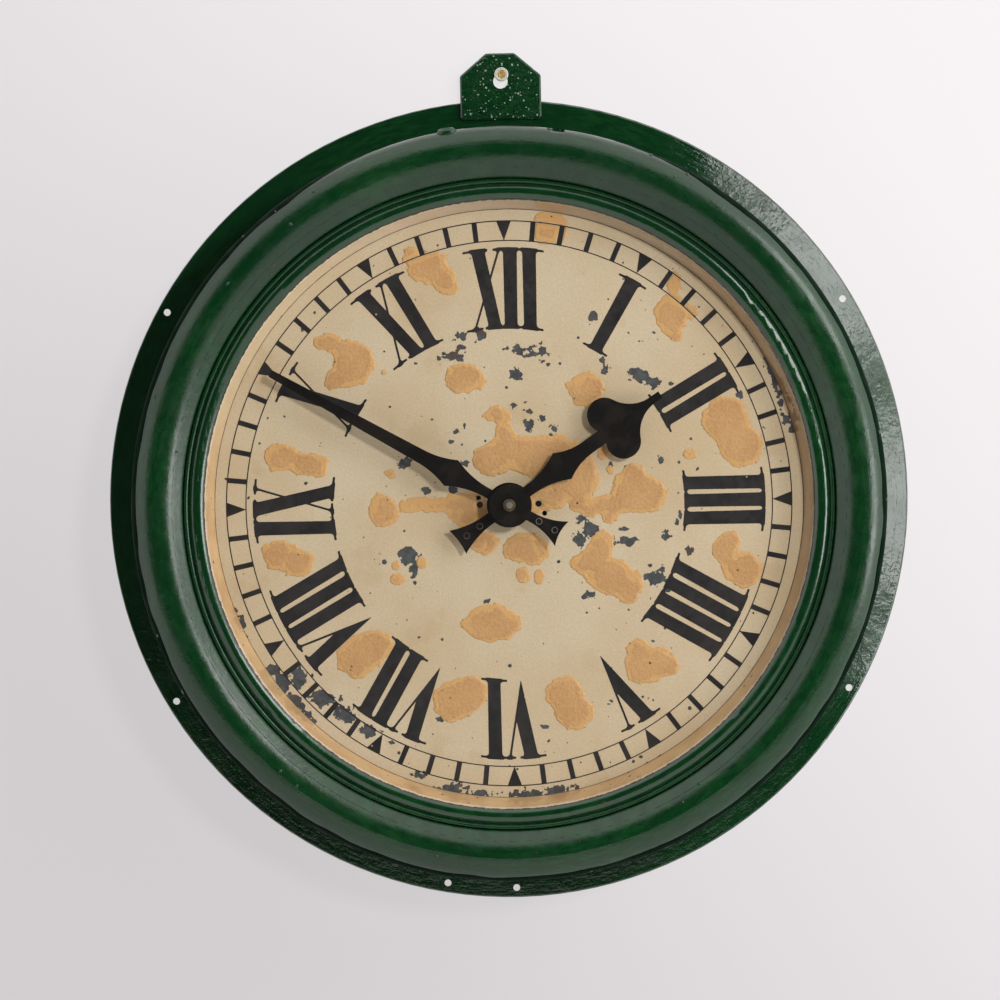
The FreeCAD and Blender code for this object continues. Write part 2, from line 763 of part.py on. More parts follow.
# Bezel ring: bead, small roll, flared sight wall and the skirt that the dial drops into
def make_bezel():
    bead = "bead_width / 2"
    foot_rise = "crest_height - bead_height"
    body = revolved(
        "bezel_ring",
        [
            ("bezel_radius", "ledge_front"),
            ("bezel_radius", "bead_height", bead, "left"),
            (f"bezel_radius - {bead}", f"bead_height + {bead}", bead, "left"),
            ("bead_foot", "bead_height", tangent_radius(foot_rise, "bead_foot - crest_radius"), "left"),
            (
                "crest_radius",
                "crest_height",
                tangent_radius("bezel_crest_rise", "crest_radius - lip_radius"),
                "left",
            ),
            ("lip_radius", "lip_height"),
            ("sight_radius", "dial_height"),
            ("seat_radius", "dial_height"),
            ("seat_radius", "skirt_back"),
            ("skirt_radius", "skirt_back"),
            ("skirt_radius", "ledge_front"),
        ],
    )
    blind_hole(body, "bezel_screw + 2 * screw_gap", BEZEL_SCREW_ANGLES, "bezel_screw_circle",
               "ledge_front", "bezel_screw_bite + end_gap")
    blind_hole(body, "clip_screw + 2 * screw_gap", CLIP_ANGLES, "clip_circle",
               "skirt_back", "clip_screw_bite + end_gap")
    # The one screw hole that shows from the front lies at the foot of the bead.
    sketch = new_sketch(body, lift="bead_height - pip_hole_depth")
    draw_circles(sketch, [on_circle("(bead_foot - pip_hole / 2)", "pip_hole_angle")], "pip_hole")
    pip = body.newObject("PartDesign::Pocket", "pip_hole_cut")
    pip.Profile = sketch
    bind(pip, "Length", "pip_hole_depth + bezel_crest_rise")
    pip.Reversed = True
    body.Tip = pip
    head_back = "ledge_front - drum_wall - bezel_screw_head_rise"
    turned(
        "bezel_screws",
        [on_circle("bezel_screw_circle", angle) for angle in BEZEL_SCREW_ANGLES],
        [
            ("bezel_screw_head", None, head_back, "ledge_front - drum_wall"),
            ("bezel_screw", None, "ledge_front - drum_wall", "ledge_front + bezel_screw_bite"),
        ],
    )


def blind_hole(body, diameter, angles, circle, start, depth):
    """Blind holes on a circle, cut forwards from a height."""
    sketch = new_sketch(body, lift=start)
    draw_circles(sketch, [on_circle(circle, angle) for angle in angles], diameter)
    cut = body.newObject("PartDesign::Pocket", body.Label + "_blind")
    cut.Profile = sketch
    bind(cut, "Length", depth)
    cut.Reversed = True


# Dial plate, with the clips that hold it up against the bezel's seat
def make_dial():
    body = turned(
        "dial_plate",
        [("0", "0")],
        [("2 * dial_radius", "dial_centre_hole", "dial_back", "dial_height")],
    )
    drill(body, dial_screw_places(), "dial_screw + 2 * screw_gap")
    old_holes = [
        ("-old_hole_left_x", "old_hole_left_y"),
        ("old_hole_right_x", "-old_hole_right_y"),
    ]
    body.Tip = drill(body, old_holes, "old_hole")
    turned(
        "dial_screws",
        dial_screw_places(),
        [
            ("dial_screw", None, "dial_back - dial_screw_bite", "dial_height"),
            ("dial_screw_head", None, "dial_height", "dial_height + dial_screw_head_rise"),
        ],
    )
    clip_back = "skirt_back - clip_thickness"
    clips = new_body("dial_clips")
    sketch = new_sketch(clips, "XZ_Plane", "-clip_width / 2")
    draw_outline(
        sketch,
        [
            ("dial_radius - clip_lap", clip_back),
            ("skirt_radius", clip_back),
            ("skirt_radius", "skirt_back"),
            ("dial_radius - seat_gap", "skirt_back"),
            ("dial_radius - seat_gap", "dial_back"),
            ("dial_radius - clip_lap", "dial_back"),
        ],
    )
    strip = pad(clips, sketch, "clip_width")
    hole_sketch = new_sketch(clips)
    draw_circles(hole_sketch, [("clip_circle", "0")], "clip_screw + 2 * screw_gap")
    hole = clips.newObject("PartDesign::Pocket", "clip_hole")
    hole.Profile = hole_sketch
    hole.Type = "ThroughAll"
    hole.SideType = "Symmetric"
    doc.recompute()
    ring = clips.newObject("PartDesign::PolarPattern", "clips_round_the_dial")
    ring.Originals = [strip, hole]
    ring.Axis = (next(f for f in clips.Origin.OriginFeatures if f.Role == "Z_Axis"), [""])
    ring.Angle = FULL_TURN
    ring.Occurrences = len(CLIP_ANGLES)
    clips.Tip = ring
    clips.Placement = Placement(
        Vector(0, 0, 0), FACE.multiply(Rotation(Vector(0, 0, 1), CLIP_ANGLES[0]))
    )
    turned(
        "dial_clip_screws",
        [on_circle("clip_circle", angle) for angle in CLIP_ANGLES],
        [
            ("clip_screw_head", None, f"{clip_back} - clip_screw_head_rise", clip_back),
            ("clip_screw", None, clip_back, "skirt_back + clip_screw_bite"),
        ],
    )


def dial_screw_places():
    """The two screws beside the hub."""
    return [("-dial_screw_offset", "0"), ("dial_screw_offset", "0")]


# Movement frame: two plates on four pillars, carried behind the dial by two posts
def make_frame():
    edge = rectangle(
        "-plate_half_width", "-plate_bottom", "plate_half_width", "plate_top", "plate_corner"
    )
    windows = [
        rectangle("-window_far", "-window_bottom", "-window_near", "window_top", "window_corner"),
        rectangle("window_near", "-window_bottom", "window_far", "window_top", "window_corner"),
        rectangle(
            "-magnet_window_width / 2",
            "-magnet_window_bottom",
            "magnet_window_width / 2",
            "-magnet_window_top",
            "window_corner",
        ),
    ]
    pillars = [
        ("-pillar_x", "pillar_high"),
        ("pillar_x", "pillar_high"),
        ("-pillar_x", "-pillar_low"),
        ("pillar_x", "-pillar_low"),
    ]
    yoke_screws = [
        ("-yoke_screw_x", "-(yoke_drop + yoke_height / 2)"),
        ("yoke_screw_x", "-(yoke_drop + yoke_height / 2)"),
    ]
    block_screws = [
        ("-block_screw_x", "-block_drop"),
        ("block_screw_x", "-block_drop"),
    ]
    lever_pivot = [("lever_pivot_x", "-lever_pivot_drop")]
    front = flat("movement_front_plate", edge, "front_plate_back", "plate_thickness")
    back = flat("movement_back_plate", edge, "back_plate_back", "plate_thickness", windows)
    for plate in (front, back):
        drill(plate, pillars, "pillar_screw + 2 * screw_gap")
        drill(plate, yoke_screws, "yoke_screw + 2 * screw_gap")
        drill(plate, [("0", "0")], "bush + 2 * press_gap")
        drill(plate, lever_pivot, "lever_pivot + 2 * running_gap")
    drill(front, dial_screw_places(), "dial_pillar_spigot + 2 * press_gap")
    drill(front, [("-click_pivot_x", "-click_pivot_drop")], "click_stud_spigot + 2 * press_gap")
    drill(front, [("0", "-gear_centres")], "minute_stud + 2 * press_gap")
    drill(back, block_screws, "block_screw + 2 * screw_gap")
    turned(
        "movement_pillars",
        pillars,
        [("pillar", "pillar_screw + 2 * screw_gap", "back_plate_front", "front_plate_back")],
    )
    through_screws("pillar_screws", pillars, "pillar_screw")
    through_screws("yoke_screws", yoke_screws, "yoke_screw")
    turned(
        "dial_pillars",
        dial_screw_places(),
        [
            ("dial_pillar_spigot", None, "front_plate_back", "front_plate_front"),
            ("dial_pillar", None, "front_plate_front", "dial_back - dial_screw_bite - end_gap"),
            (
                "dial_pillar",
                "dial_screw + 2 * screw_gap",
                "dial_back - dial_screw_bite - end_gap",
                "dial_back",
            ),
        ],
    )
    bushes = new_body("arbor_bushes")
    for bore, start, end in (
        ("arbor_pivot", "back_plate_back - bush_proud", "back_plate_front"),
        ("arbor", "front_plate_back - bush_proud", "front_plate_front"),
    ):
        sketch = new_sketch(bushes, lift=start)
        draw_circles(sketch, [("0", "0")], "bush")
        draw_circles(sketch, [("0", "0")], f"{bore} + 2 * running_gap")
        pad(bushes, sketch, f"({end}) - ({start})")
    turned(
        "terminal_block_screws",
        block_screws,
        [
            ("block_screw_head", None, "block_back - block_screw_head_rise", "block_back"),
            ("block_screw", None, "block_back", "back_plate_front"),
        ],
    )
    return block_screws


def through_screws(label, places, screw):
    """Screws through both plates into the ends of what the plates hold apart."""
    turned(
        label,
        places,
        [
            (f"{screw}_head", None, f"back_plate_back - {screw}_head_rise", "back_plate_back"),
            (screw, None, "back_plate_back", f"back_plate_front + {screw}_bite"),
            (screw, None, f"front_plate_back - {screw}_bite", "front_plate_front"),
            (f"{screw}_head", None, "front_plate_front", f"front_plate_front + {screw}_head_rise"),
        ],
    )


def gear_face(teeth, module, first_angle, bore):
    """Flat face of a wheel with involute teeth, one of them at an angle from the x axis."""
    pitch_radius = module * teeth / 2
    base_radius = pitch_radius * math.cos(PRESSURE_ANGLE)
    root_radius = pitch_radius - DEDENDUM_SHARE * module
    tip_radius = pitch_radius + value("addendum_share") * module
    foot_radius = max(base_radius, root_radius)
    half_tooth = math.pi / (2 * teeth) - value("gear_thinning") / (2 * pitch_radius)
    roll = math.tan(PRESSURE_ANGLE) - PRESSURE_ANGLE

    def flank_angle(radius):
        lean = math.acos(min(base_radius / radius, 1))
        return half_tooth + roll - (math.tan(lean) - lean)

    rise = tip_radius - foot_radius
    radii = [foot_radius + share * rise for share in FLANK_SHARES]
    flank = [(radius, flank_angle(radius)) for radius in radii]
    if foot_radius > root_radius:
        flank.insert(0, (root_radius, flank_angle(foot_radius)))
    tooth = [(radius, -angle) for radius, angle in flank]
    tooth += [(radius, angle) for radius, angle in reversed(flank)]
    points = []
    for index in range(teeth):
        middle = first_angle + 2 * math.pi * index / teeth
        for radius, angle in tooth:
            points.append(polar(radius, middle + angle))
    rim = Part.Wire(Part.makePolygon(points + points[:1]))
    return cut_face(rim, ring_wire(bore))


def polar(radius, angle):
    """Point at a radius and an angle from the x axis."""
    return Vector(radius * math.cos(angle), radius * math.sin(angle), 0)


def cut_face(*wires):
    """Flat face inside the first wire and outside the others."""
    return Part.makeFace(list(wires), "Part::FaceMakerBullseye")


def ring_wire(diameter):
    """Circle about the wheel's own axis, as a wire."""
    return Part.Wire(Part.makeCircle(diameter / 2))


def tube(diameter, bore, start, end):
    """Plain tube about the wheel's axis between two heights."""
    face = cut_face(ring_wire(diameter), ring_wire(bore))
    face.translate(Vector(0, 0, start))
    return face.extrude(Vector(0, 0, end - start))


def raised(face, start, end, place=Vector(0, 0, 0)):
    """Wheel face raised between two heights at a place."""
    moved = face.copy()
    moved.translate(place + Vector(0, 0, start))
    return moved.extrude(Vector(0, 0, end - start))


# Motion work between the front plate and the dial, which turns the hour hand once in twelve turns
def make_motion_work():
    up = math.pi / 2
    module = value("gear_module")
    hour_module = value("hour_module")
    stud_place = Vector(0, -value("gear_centres"), 0)
    bore = value("arbor + 2 * press_gap")
    cannon_back = value("cannon_back")
    shoulder = cannon_back + value("cannon_face")
    pipe = shoulder + value("cannon_shoulder")
    cannon_teeth = int(value("cannon_teeth"))
    cannon = raised(gear_face(cannon_teeth, module, -up, bore), cannon_back, shoulder)
    for diameter, start, end in (
        (module * cannon_teeth, shoulder, pipe),
        (value("cannon_pipe"), pipe, value("minute_hand_back")),
        (value("cannon_seat"), value("minute_hand_back"), value("minute_hand_front")),
    ):
        cannon = cannon.fuse(tube(diameter, bore, start, end))
    set_shape("cannon_pinion", cannon.removeSplitter())

    wheel_teeth = int(value("minute_wheel_teeth"))
    gap_up = up + math.pi / wheel_teeth
    stud_bore = value("minute_stud + 2 * running_gap")
    wheel = gear_face(wheel_teeth, module, gap_up, stud_bore)
    wheel_back = value("minute_wheel_back")
    wheel_front = value("minute_pinion_back")
    set_shape("minute_wheel", raised(wheel, wheel_back, wheel_front, stud_place))
    pinion = gear_face(int(value("minute_pinion_teeth")), hour_module, up, stud_bore)
    pinion_front = value("minute_pinion_front")
    set_shape("minute_wheel_pinion", raised(pinion, wheel_front, pinion_front, stud_place))

    hour_teeth = int(value("hour_wheel_teeth"))
    pipe_bore = value("cannon_pipe + 2 * running_gap")
    gap_down = math.pi / hour_teeth - up
    hour_back = value("hour_wheel_back")
    hour_front = hour_back + value("hour_wheel_thickness")
    hour = raised(gear_face(hour_teeth, hour_module, gap_down, pipe_bore), hour_back, hour_front)
    pipe_front = value("hour_hand_front + hour_pipe_proud")
    hour = hour.fuse(tube(value("hour_pipe"), pipe_bore, hour_front, pipe_front))
    set_shape("hour_wheel", hour.removeSplitter())

    turned(
        "minute_wheel_stud",
        [("0", "-gear_centres")],
        [
            ("minute_stud", None, "front_plate_back", "minute_pinion_front + end_gap"),
            ("minute_stud_flange", None, "front_plate_front", "minute_wheel_back - end_gap"),
            (
                "minute_stud_head",
                None,
                "minute_pinion_front + end_gap",
                "minute_pinion_front + end_gap + minute_stud_head_rise",
            ),
        ],
    )


# Hands: cut from sheet, each with a riveted counterweight behind its tail
def hand_side(name, above):
    """Right side of a hand from its tail up to the stem, followed by the form above it."""
    neck = f"{name}_neck / 2"
    tail_flare = tangent_radius(
        f"({name}_tail - {name}_neck) / 2", f"{name}_tail_reach - {name}_neck_reach"
    )
    inner_flare = tangent_radius(
        f"({name}_shoulder - {name}_neck) / 2", f"{name}_shoulder_reach - {name}_neck_reach"
    )
    outer_flare = tangent_radius(
        f"({name}_shoulder - {name}_stem) / 2", f"{name}_stem_reach - {name}_shoulder_reach"
    )
    return [
        (f"{name}_tail / 2", f"-{name}_tail_reach", tail_flare, "right"),
        (neck, f"-{name}_neck_reach"),
        (neck, f"{name}_neck_reach", inner_flare, "right"),
        (f"{name}_shoulder / 2", f"{name}_shoulder_reach", outer_flare, "right"),
        (f"{name}_stem / 2", f"{name}_stem_reach"),
        *above,
    ]


def hand_outline(name, above):
    """Whole outline of a hand, with its hollowed tail end."""
    corners = mirrored(hand_side(name, above))
    half_tail = f"{name}_tail / 2"
    hollow = tangent_radius(f"{name}_tail_hollow", half_tail)
    corners[-1] = (*corners[-1][:2], hollow, "right")
    return corners


def point_hand(body, name):
    """Turn a hand's piece, drawn at twelve o'clock, to the time that the clock shows."""
    clockwise = Rotation(Vector(0, 0, 1), -value(f"{name}_angle"))
    body.Placement = Placement(Vector(0, 0, 0), FACE.multiply(clockwise))


def make_hand(name, above, bore):
    """Hand, counterweight and rivets of one of the two hands."""
    back = f"{name}_hand_back"
    front = f"{name}_hand_front"
    weight_back = f"{back} - counterweight_thickness"
    rivets = [("0", f"-{name}_rivet_near"), ("0", f"-{name}_rivet_far")]
    rivet_hole = "hand_rivet + 2 * press_gap"
    hand = flat(f"{name}_hand", hand_outline(name, above), back, "hand_thickness")
    boss = new_sketch(hand, lift=back)
    draw_circles(boss, [("0", "0")], "hand_boss")
    pad(hand, boss, "hand_thickness")
    drill(hand, [("0", "0")], bore)
    drill(hand, rivets, rivet_hole)
    half = "counterweight_width / 2"
    stadium = [
        (minus(half), f"-{name}_rivet_far", half, "left"),
        ("0", f"-{name}_rivet_far - {half}", half, "left"),
        (half, f"-{name}_rivet_far"),
        (half, f"-{name}_rivet_near", half, "left"),
        ("0", f"-{name}_rivet_near + {half}", half, "left"),
        (minus(half), f"-{name}_rivet_near"),
    ]
    weight = flat(f"{name}_counterweight", stadium, weight_back, "counterweight_thickness")
    drill(weight, rivets, rivet_hole)
    pins = turned(
        f"{name}_hand_rivets",
        rivets,
        [("hand_rivet", None, weight_back, f"{front} + hand_rivet_proud")],
    )
    for piece in (hand, weight, pins):
        point_hand(piece, name)


def make_hands():
    make_hand("minute", [("minute_tip / 2", "minute_length")], "cannon_seat + 2 * press_gap")
    lobe_meet = "spade_reach - sqrt(spade_lobe^2 - (spade_offset - hour_stem / 2)^2)"
    join_x = "spade_offset + spade_lobe * cos(spade_join_angle)"
    join_y = "spade_reach + spade_lobe * sin(spade_join_angle)"
    sweep = tangent_radius(f"{join_x} - hour_tip / 2", f"hour_tip_reach - ({join_y})")
    spade = [
        ("hour_stem / 2", lobe_meet, "spade_lobe", "left"),
        ("spade_width / 2", "spade_reach", "spade_lobe", "left"),
        (join_x, join_y, sweep, "right"),
        ("hour_tip / 2", "hour_tip_reach"),
        ("hour_tip / 2", "hour_length"),
    ]
    make_hand("hour", spade, "hour_pipe + 2 * press_gap")
    turned(
        "hour_hand_collet",
        [("0", "0")],
        [
            (
                "hour_collet",
                "hour_pipe + 2 * press_gap",
                "hour_hand_back - hour_collet_height",
                "hour_hand_back",
            )
        ],
    )
    arbor_bore = "arbor + 2 * press_gap"
    turned(
        "hub_cap",
        [("0", "0")],
        [
            ("hub", arbor_bore, "minute_hand_front", "minute_hand_front + hub_rim"),
            ("hub_face", arbor_bore, "minute_hand_front + hub_rim", "hub_front"),
        ],
    )
    turned("hand_nut", [("0", "0")], [("nut", arbor_bore, "hub_front", "hub_front + nut_height")])


# Centre arbor and the ratchet wheel that steps it once each half minute
def make_arbor():
    collet_back = "ratchet_back - collet_height"
    turned(
        "centre_arbor",
        [("0", "0")],
        [
            ("arbor_pivot", None, "back_plate_back - arbor_tail", "back_plate_front + end_gap"),
            ("arbor_collar", None, "back_plate_front + end_gap", collet_back),
            ("arbor", None, collet_back, "hub_front + nut_height + arbor_proud"),
        ],
    )
    bore = "arbor + 2 * press_gap"
    turned(
        "ratchet_collet",
        [("0", "0")],
        [
            ("collet", bore, collet_back, "ratchet_back"),
            ("collet_spigot", bore, "ratchet_back", "ratchet_front"),
        ],
    )
    tip_radius = value("ratchet_radius")
    root_radius = value("ratchet_radius - ratchet_depth")
    teeth = int(value("ratchet_teeth"))
    pitch = 2 * math.pi / teeth
    points = []
    for index in range(teeth):
        points.append(polar(root_radius, index * pitch))
        points.append(polar(tip_radius, (index + RATCHET_TIP_SHARE) * pitch))
    rim = Part.Wire(Part.makePolygon(points + points[:1]))
    window_outer = value("ratchet_radius - ratchet_rim")
    window_inner = value("ratchet_hub")
    spokes = int(value("ratchet_spoke_count"))
    half_spoke = value("ratchet_spoke") / 2
    windows = []
    for index in range(spokes):
        start = 2 * math.pi * index / spokes
        end = 2 * math.pi * (index + 1) / spokes
        windows.append(spoke_window(window_outer, window_inner, half_spoke, start, end))
    hole = ring_wire(value("collet_spigot + 2 * press_gap"))
    face = cut_face(rim, hole, *windows)
    set_shape("ratchet_wheel", raised(face, value("ratchet_back"), value("ratchet_front")))


def spoke_window(outer, inner, half_spoke, start, end):
    """Opening between two spokes of a wheel."""
    arcs = []
    for radius in (outer, inner):
        lean = math.asin(half_spoke / radius)
        first, last = start + lean, end - lean
        middle = polar(radius, (first + last) / 2)
        arcs.append(Part.Arc(polar(radius, first), middle, polar(radius, last)).toShape())
    sides = [
        Part.makeLine(arcs[0].Vertexes[side].Point, arcs[1].Vertexes[side].Point) for side in (0, 1)
    ]
    return Part.Wire(Part.__sortEdges__([arcs[0], sides[1], arcs[1], sides[0]]))


# Drive lever: a bell crank between the magnet's armature and the pawl that pulls the ratchet
def move_to(body, x, y):
    """Place a face-frame body's own origin at a point of the face."""
    bind(body, "Placement.Base.x", x)
    bind(body, "Placement.Base.z", y)


def make_lever():
    shoulder = "sqrt(lever_boss^2 - heel^2)"
    corners = [
        ("-lever_reach", "-lever_low"),
        ("-heel", "-lever_low"),
        ("-heel", "-heel_drop"),
        ("heel", "-heel_drop"),
        ("heel", minus(shoulder), "lever_boss", "left"),
        ("lever_boss", "0"),
        ("lever_arm", "lever_rise", "lever_arm", "left"),
        ("0", "lever_rise + lever_arm", "lever_arm", "left"),
        ("-lever_arm", "lever_rise"),
        ("-lever_arm", "lever_high + lever_crook", "lever_crook", "right"),
        ("-lever_arm - lever_crook", "lever_high"),
        ("-lever_reach", "lever_high"),
    ]
    lever = flat("drive_lever", corners, "lever_back", "lever_thickness")
    drill(lever, [("0", "0")], "lever_arbor_seat + 2 * press_gap")
    drill(lever, [("0", "lever_rise")], "pawl_pin + 2 * press_gap")
    armature_y = "-armature_low + armature_height / 2"
    screw_places = [
        ("-armature_screw_x", armature_y),
        ("armature_screw_x", armature_y),
    ]
    screw_hole = "armature_screw + 2 * screw_gap"
    own_places = [(f"{x} - lever_pivot_x", f"{y} + lever_pivot_drop") for x, y in screw_places]
    drill(lever, own_places, screw_hole)
    move_to(lever, "lever_pivot_x", "-lever_pivot_drop")
    armature = flat(
        "armature",
        rectangle(
            "-armature_length / 2",
            "-armature_low",
            "armature_length / 2",
            "-armature_low + armature_height",
        ),
        "lever_back - armature_depth",
        "armature_depth",
    )
    drill(armature, screw_places, screw_hole)
    turned(
        "armature_screws",
        screw_places,
        [
            ("armature_screw", None, "lever_back - armature_screw_bite", "lever_front"),
            (
                "armature_screw_head",
                None,
                "lever_front",
                "lever_front + armature_screw_head_rise",
            ),
        ],
    )
    pivot_back = "back_plate_front - lever_pivot_length + end_gap"
    pivot_front = "front_plate_back + lever_pivot_length - end_gap"
    turned(
        "lever_arbor",
        [("lever_pivot_x", "-lever_pivot_drop")],
        [
            ("lever_pivot", None, pivot_back, "back_plate_front + end_gap"),
            ("lever_arbor", None, "back_plate_front + end_gap", "lever_back"),
            ("lever_arbor_seat", None, "lever_back", "front_plate_back - end_gap"),
            ("lever_pivot", None, "front_plate_back - end_gap", pivot_front),
        ],
    )
    turned(
        "pawl_pin",
        [("lever_pivot_x", "pawl_pivot_y")],
        [
            (
                "pawl_pin_head",
                None,
                "pawl_back - end_gap - pawl_pin_head_rise",
                "pawl_back - end_gap",
            ),
            ("pawl_pin", None, "pawl_back - end_gap", "lever_front"),
            ("pawl_pin_head", None, "pawl_front + end_gap", "lever_back"),
            ("pawl_pin_head", None, "lever_front", "lever_front + pawl_pin_head_rise"),
        ],
    )


# Pawls: a hook that pulls the ratchet's top, and a click under its left side that holds it
def make_pawls():
    boss = "pawl_boss"
    tip_x = "(pawl_reach * cos(hook_angle) - lever_pivot_x)"
    tip_y = "(pawl_reach * sin(hook_angle) - pawl_pivot_y)"
    hook = [
        ("0", minus(boss), boss, "left"),
        (boss, "0", boss, "left"),
        ("0", boss),
        (f"{tip_x} - hook_width", "hook_back"),
        (f"{tip_x} - hook_width", f"{tip_y} + hook_depth"),
        (tip_x, tip_y),
        (f"{tip_x} + hook_depth * cos(hook_angle)", f"{tip_y} + hook_depth * sin(hook_angle)"),
    ]
    pawl = flat("drive_pawl", hook, "pawl_back", "pawl_thickness")
    drill(pawl, [("0", "0")], "pawl_pin + 2 * running_gap")
    move_to(pawl, "lever_pivot_x", "pawl_pivot_y")
    tip_x = "(click_pivot_x + pawl_reach * cos(click_angle))"
    tip_y = "(click_pivot_drop + pawl_reach * sin(click_angle))"
    wide, narrow = CLICK_BOSS_SHARES
    strut = [
        (f"-{narrow} * {boss}", f"-{wide} * {boss}", boss, "left"),
        (boss, "0"),
        (tip_x, tip_y),
        (f"{tip_x} - click_tip", f"{tip_y} - click_tip_slope"),
        (f"-{wide} * {boss}", f"{narrow} * {boss}", boss, "left"),
    ]
    click = flat("backstop_click", strut, "pawl_back", "pawl_thickness")
    drill(click, [("0", "0")], "click_stud + 2 * running_gap")
    move_to(click, "-click_pivot_x", "-click_pivot_drop")
    turned(
        "click_stud",
        [("-click_pivot_x", "-click_pivot_drop")],
        [
            (
                "click_stud_head",
                None,
                "pawl_back - end_gap - click_stud_head_rise",
                "pawl_back - end_gap",
            ),
            ("click_stud", None, "pawl_back - end_gap", "pawl_front + end_gap"),
            ("click_stud_post", None, "pawl_front + end_gap", "front_plate_back"),
            ("click_stud_spigot", None, "front_plate_back", "front_plate_front"),
        ],
    )


# Return spring, stop and the blocks that hold them on the front plate
def make_stops():
    spring_top = "-spring_low + spring_length"
    spring_back = "(lever_back + lever_front - spring_width) / 2"
    flat(
        "drive_spring",
        rectangle("spring_x", "-spring_low", "spring_post_x", spring_top),
        spring_back,
        "spring_width",
    )
    flat(
        "spring_post",
        rectangle(
            "spring_post_x",
            "-spring_low",
            "spring_post_x + spring_post_width",
            "-spring_low + spring_post_height",
        ),
        spring_back,
        f"front_plate_back - ({spring_back})",
    )
    block = flat(
        "stop_block",
        rectangle(
            "stop_block_x",
            "stop_y - stop_block_height / 2",
            "stop_block_x + stop_block_width",
            "stop_y + stop_block_height / 2",
        ),
        "front_plate_back - stop_block_depth",
        "stop_block_depth",
    )
    lever_middle = "((lever_back + lever_front) / 2)"
    sketch = new_sketch(block, "YZ_Plane")
    draw_circles(sketch, [("stop_y", lever_middle)], "stop_screw + 2 * screw_gap")
    bore = block.newObject("PartDesign::Pocket", "stop_screw_bore")
    bore.Profile = sketch
    bore.Type = "ThroughAll"
    bore.SideType = "Symmetric"
    block_end = "stop_block_x + stop_block_width"
    turned(
        "stop_screw",
        [("-stop_y", minus(lever_middle))],
        [
            ("stop_screw", None, "stop_x", block_end),
            ("stop_screw_head", None, block_end, f"{block_end} + stop_screw_head_rise"),
        ],
        SIDEWAYS,
    )


# Electromagnet: two wound cores on a yoke that spans the plates, and the terminals for the line
def make_magnet():
    yoke = flat(
        "magnet_yoke",
        rectangle("-yoke_length / 2", "-yoke_low", "yoke_length / 2", "-yoke_drop"),
        "back_plate_front",
        "plate_spacing",
    )
    drill(
        yoke,
        [
            ("-yoke_screw_x", "-(yoke_drop + yoke_height / 2)"),
            ("yoke_screw_x", "-(yoke_drop + yoke_height / 2)"),
        ],
        "yoke_screw + 2 * screw_gap",
    )
    coils = [
        ("-core_spacing / 2", "-magnet_height"),
        ("core_spacing / 2", "-magnet_height"),
    ]
    turned(
        "magnet_cores",
        coils,
        [
            ("core", None, "-yoke_drop", "-coil_drop"),
            ("pole", None, "-coil_drop", "-pole_drop"),
        ],
        UPRIGHT,
    )
    bore = "core + 2 * press_gap"
    turned(
        "coil_bobbins",
        coils,
        [
            ("bobbin", bore, "-yoke_drop", "-yoke_drop + bobbin_cheek"),
            ("bobbin_tube", bore, "-yoke_drop + bobbin_cheek", "-coil_drop - bobbin_cheek"),
            ("bobbin", bore, "-coil_drop - bobbin_cheek", "-coil_drop"),
        ],
        UPRIGHT,
    )
    turned(
        "coil_windings",
        coils,
        [
            (
                "winding",
                "bobbin_tube + 2 * press_gap",
                "-yoke_drop + bobbin_cheek",
                "-coil_drop - bobbin_cheek",
            )
        ],
        UPRIGHT,
    )


def make_terminals(block_screws):
    terminals = [("-terminal_spacing / 2", "-block_drop"), ("terminal_spacing / 2", "-block_drop")]
    block = flat(
        "terminal_block",
        rectangle(
            "-block_length / 2",
            "-block_drop - block_height / 2",
            "block_length / 2",
            "-block_drop + block_height / 2",
        ),
        "block_back",
        "block_depth",
    )
    drill(block, block_screws, "block_screw + 2 * screw_gap")
    drill(block, terminals, "terminal_stud + 2 * press_gap")
    turned(
        "terminals",
        terminals,
        [
            ("terminal_stud", None, "block_back - terminal_stud_proud", "back_plate_back"),
            ("terminal_nut", None, "block_back - terminal_nut_rise", "block_back"),
        ],
    )
    leads = [lead_solid(side) for side in (-1, 1)]
    set_shape("coil_leads", Part.Compound(leads))


def lead_solid(side):
    """Lead from the back of one coil, through the plate's window, to its terminal's nut."""
    coil_x = side * value("core_spacing") / 2
    terminal_x = side * value("terminal_spacing") / 2
    coil_back = value("magnet_height - winding / 2")
    coil_y = -value("yoke_drop - bobbin_cheek - lead_standoff")
    nut_height = value("block_back - terminal_nut_rise / 2")
    nut_y = -value("block_drop - terminal_nut / 2")
    route = [
        Vector(coil_x, coil_y, coil_back),
        Vector(coil_x, coil_y, nut_height),
        Vector(terminal_x, nut_y + value("lead_standoff"), nut_height),
        Vector(terminal_x, nut_y, nut_height),
    ]
    path, ends = rounded_path(route)
    profile = Part.Wire(Part.makeCircle(value("lead") / 2, ends[0], route[1] - route[0]))
    pipe = Part.BRepOffsetAPI.MakePipeShell(path)
    pipe.add(profile)
    pipe.build()
    pipe.makeSolid()
    return pipe.shape()


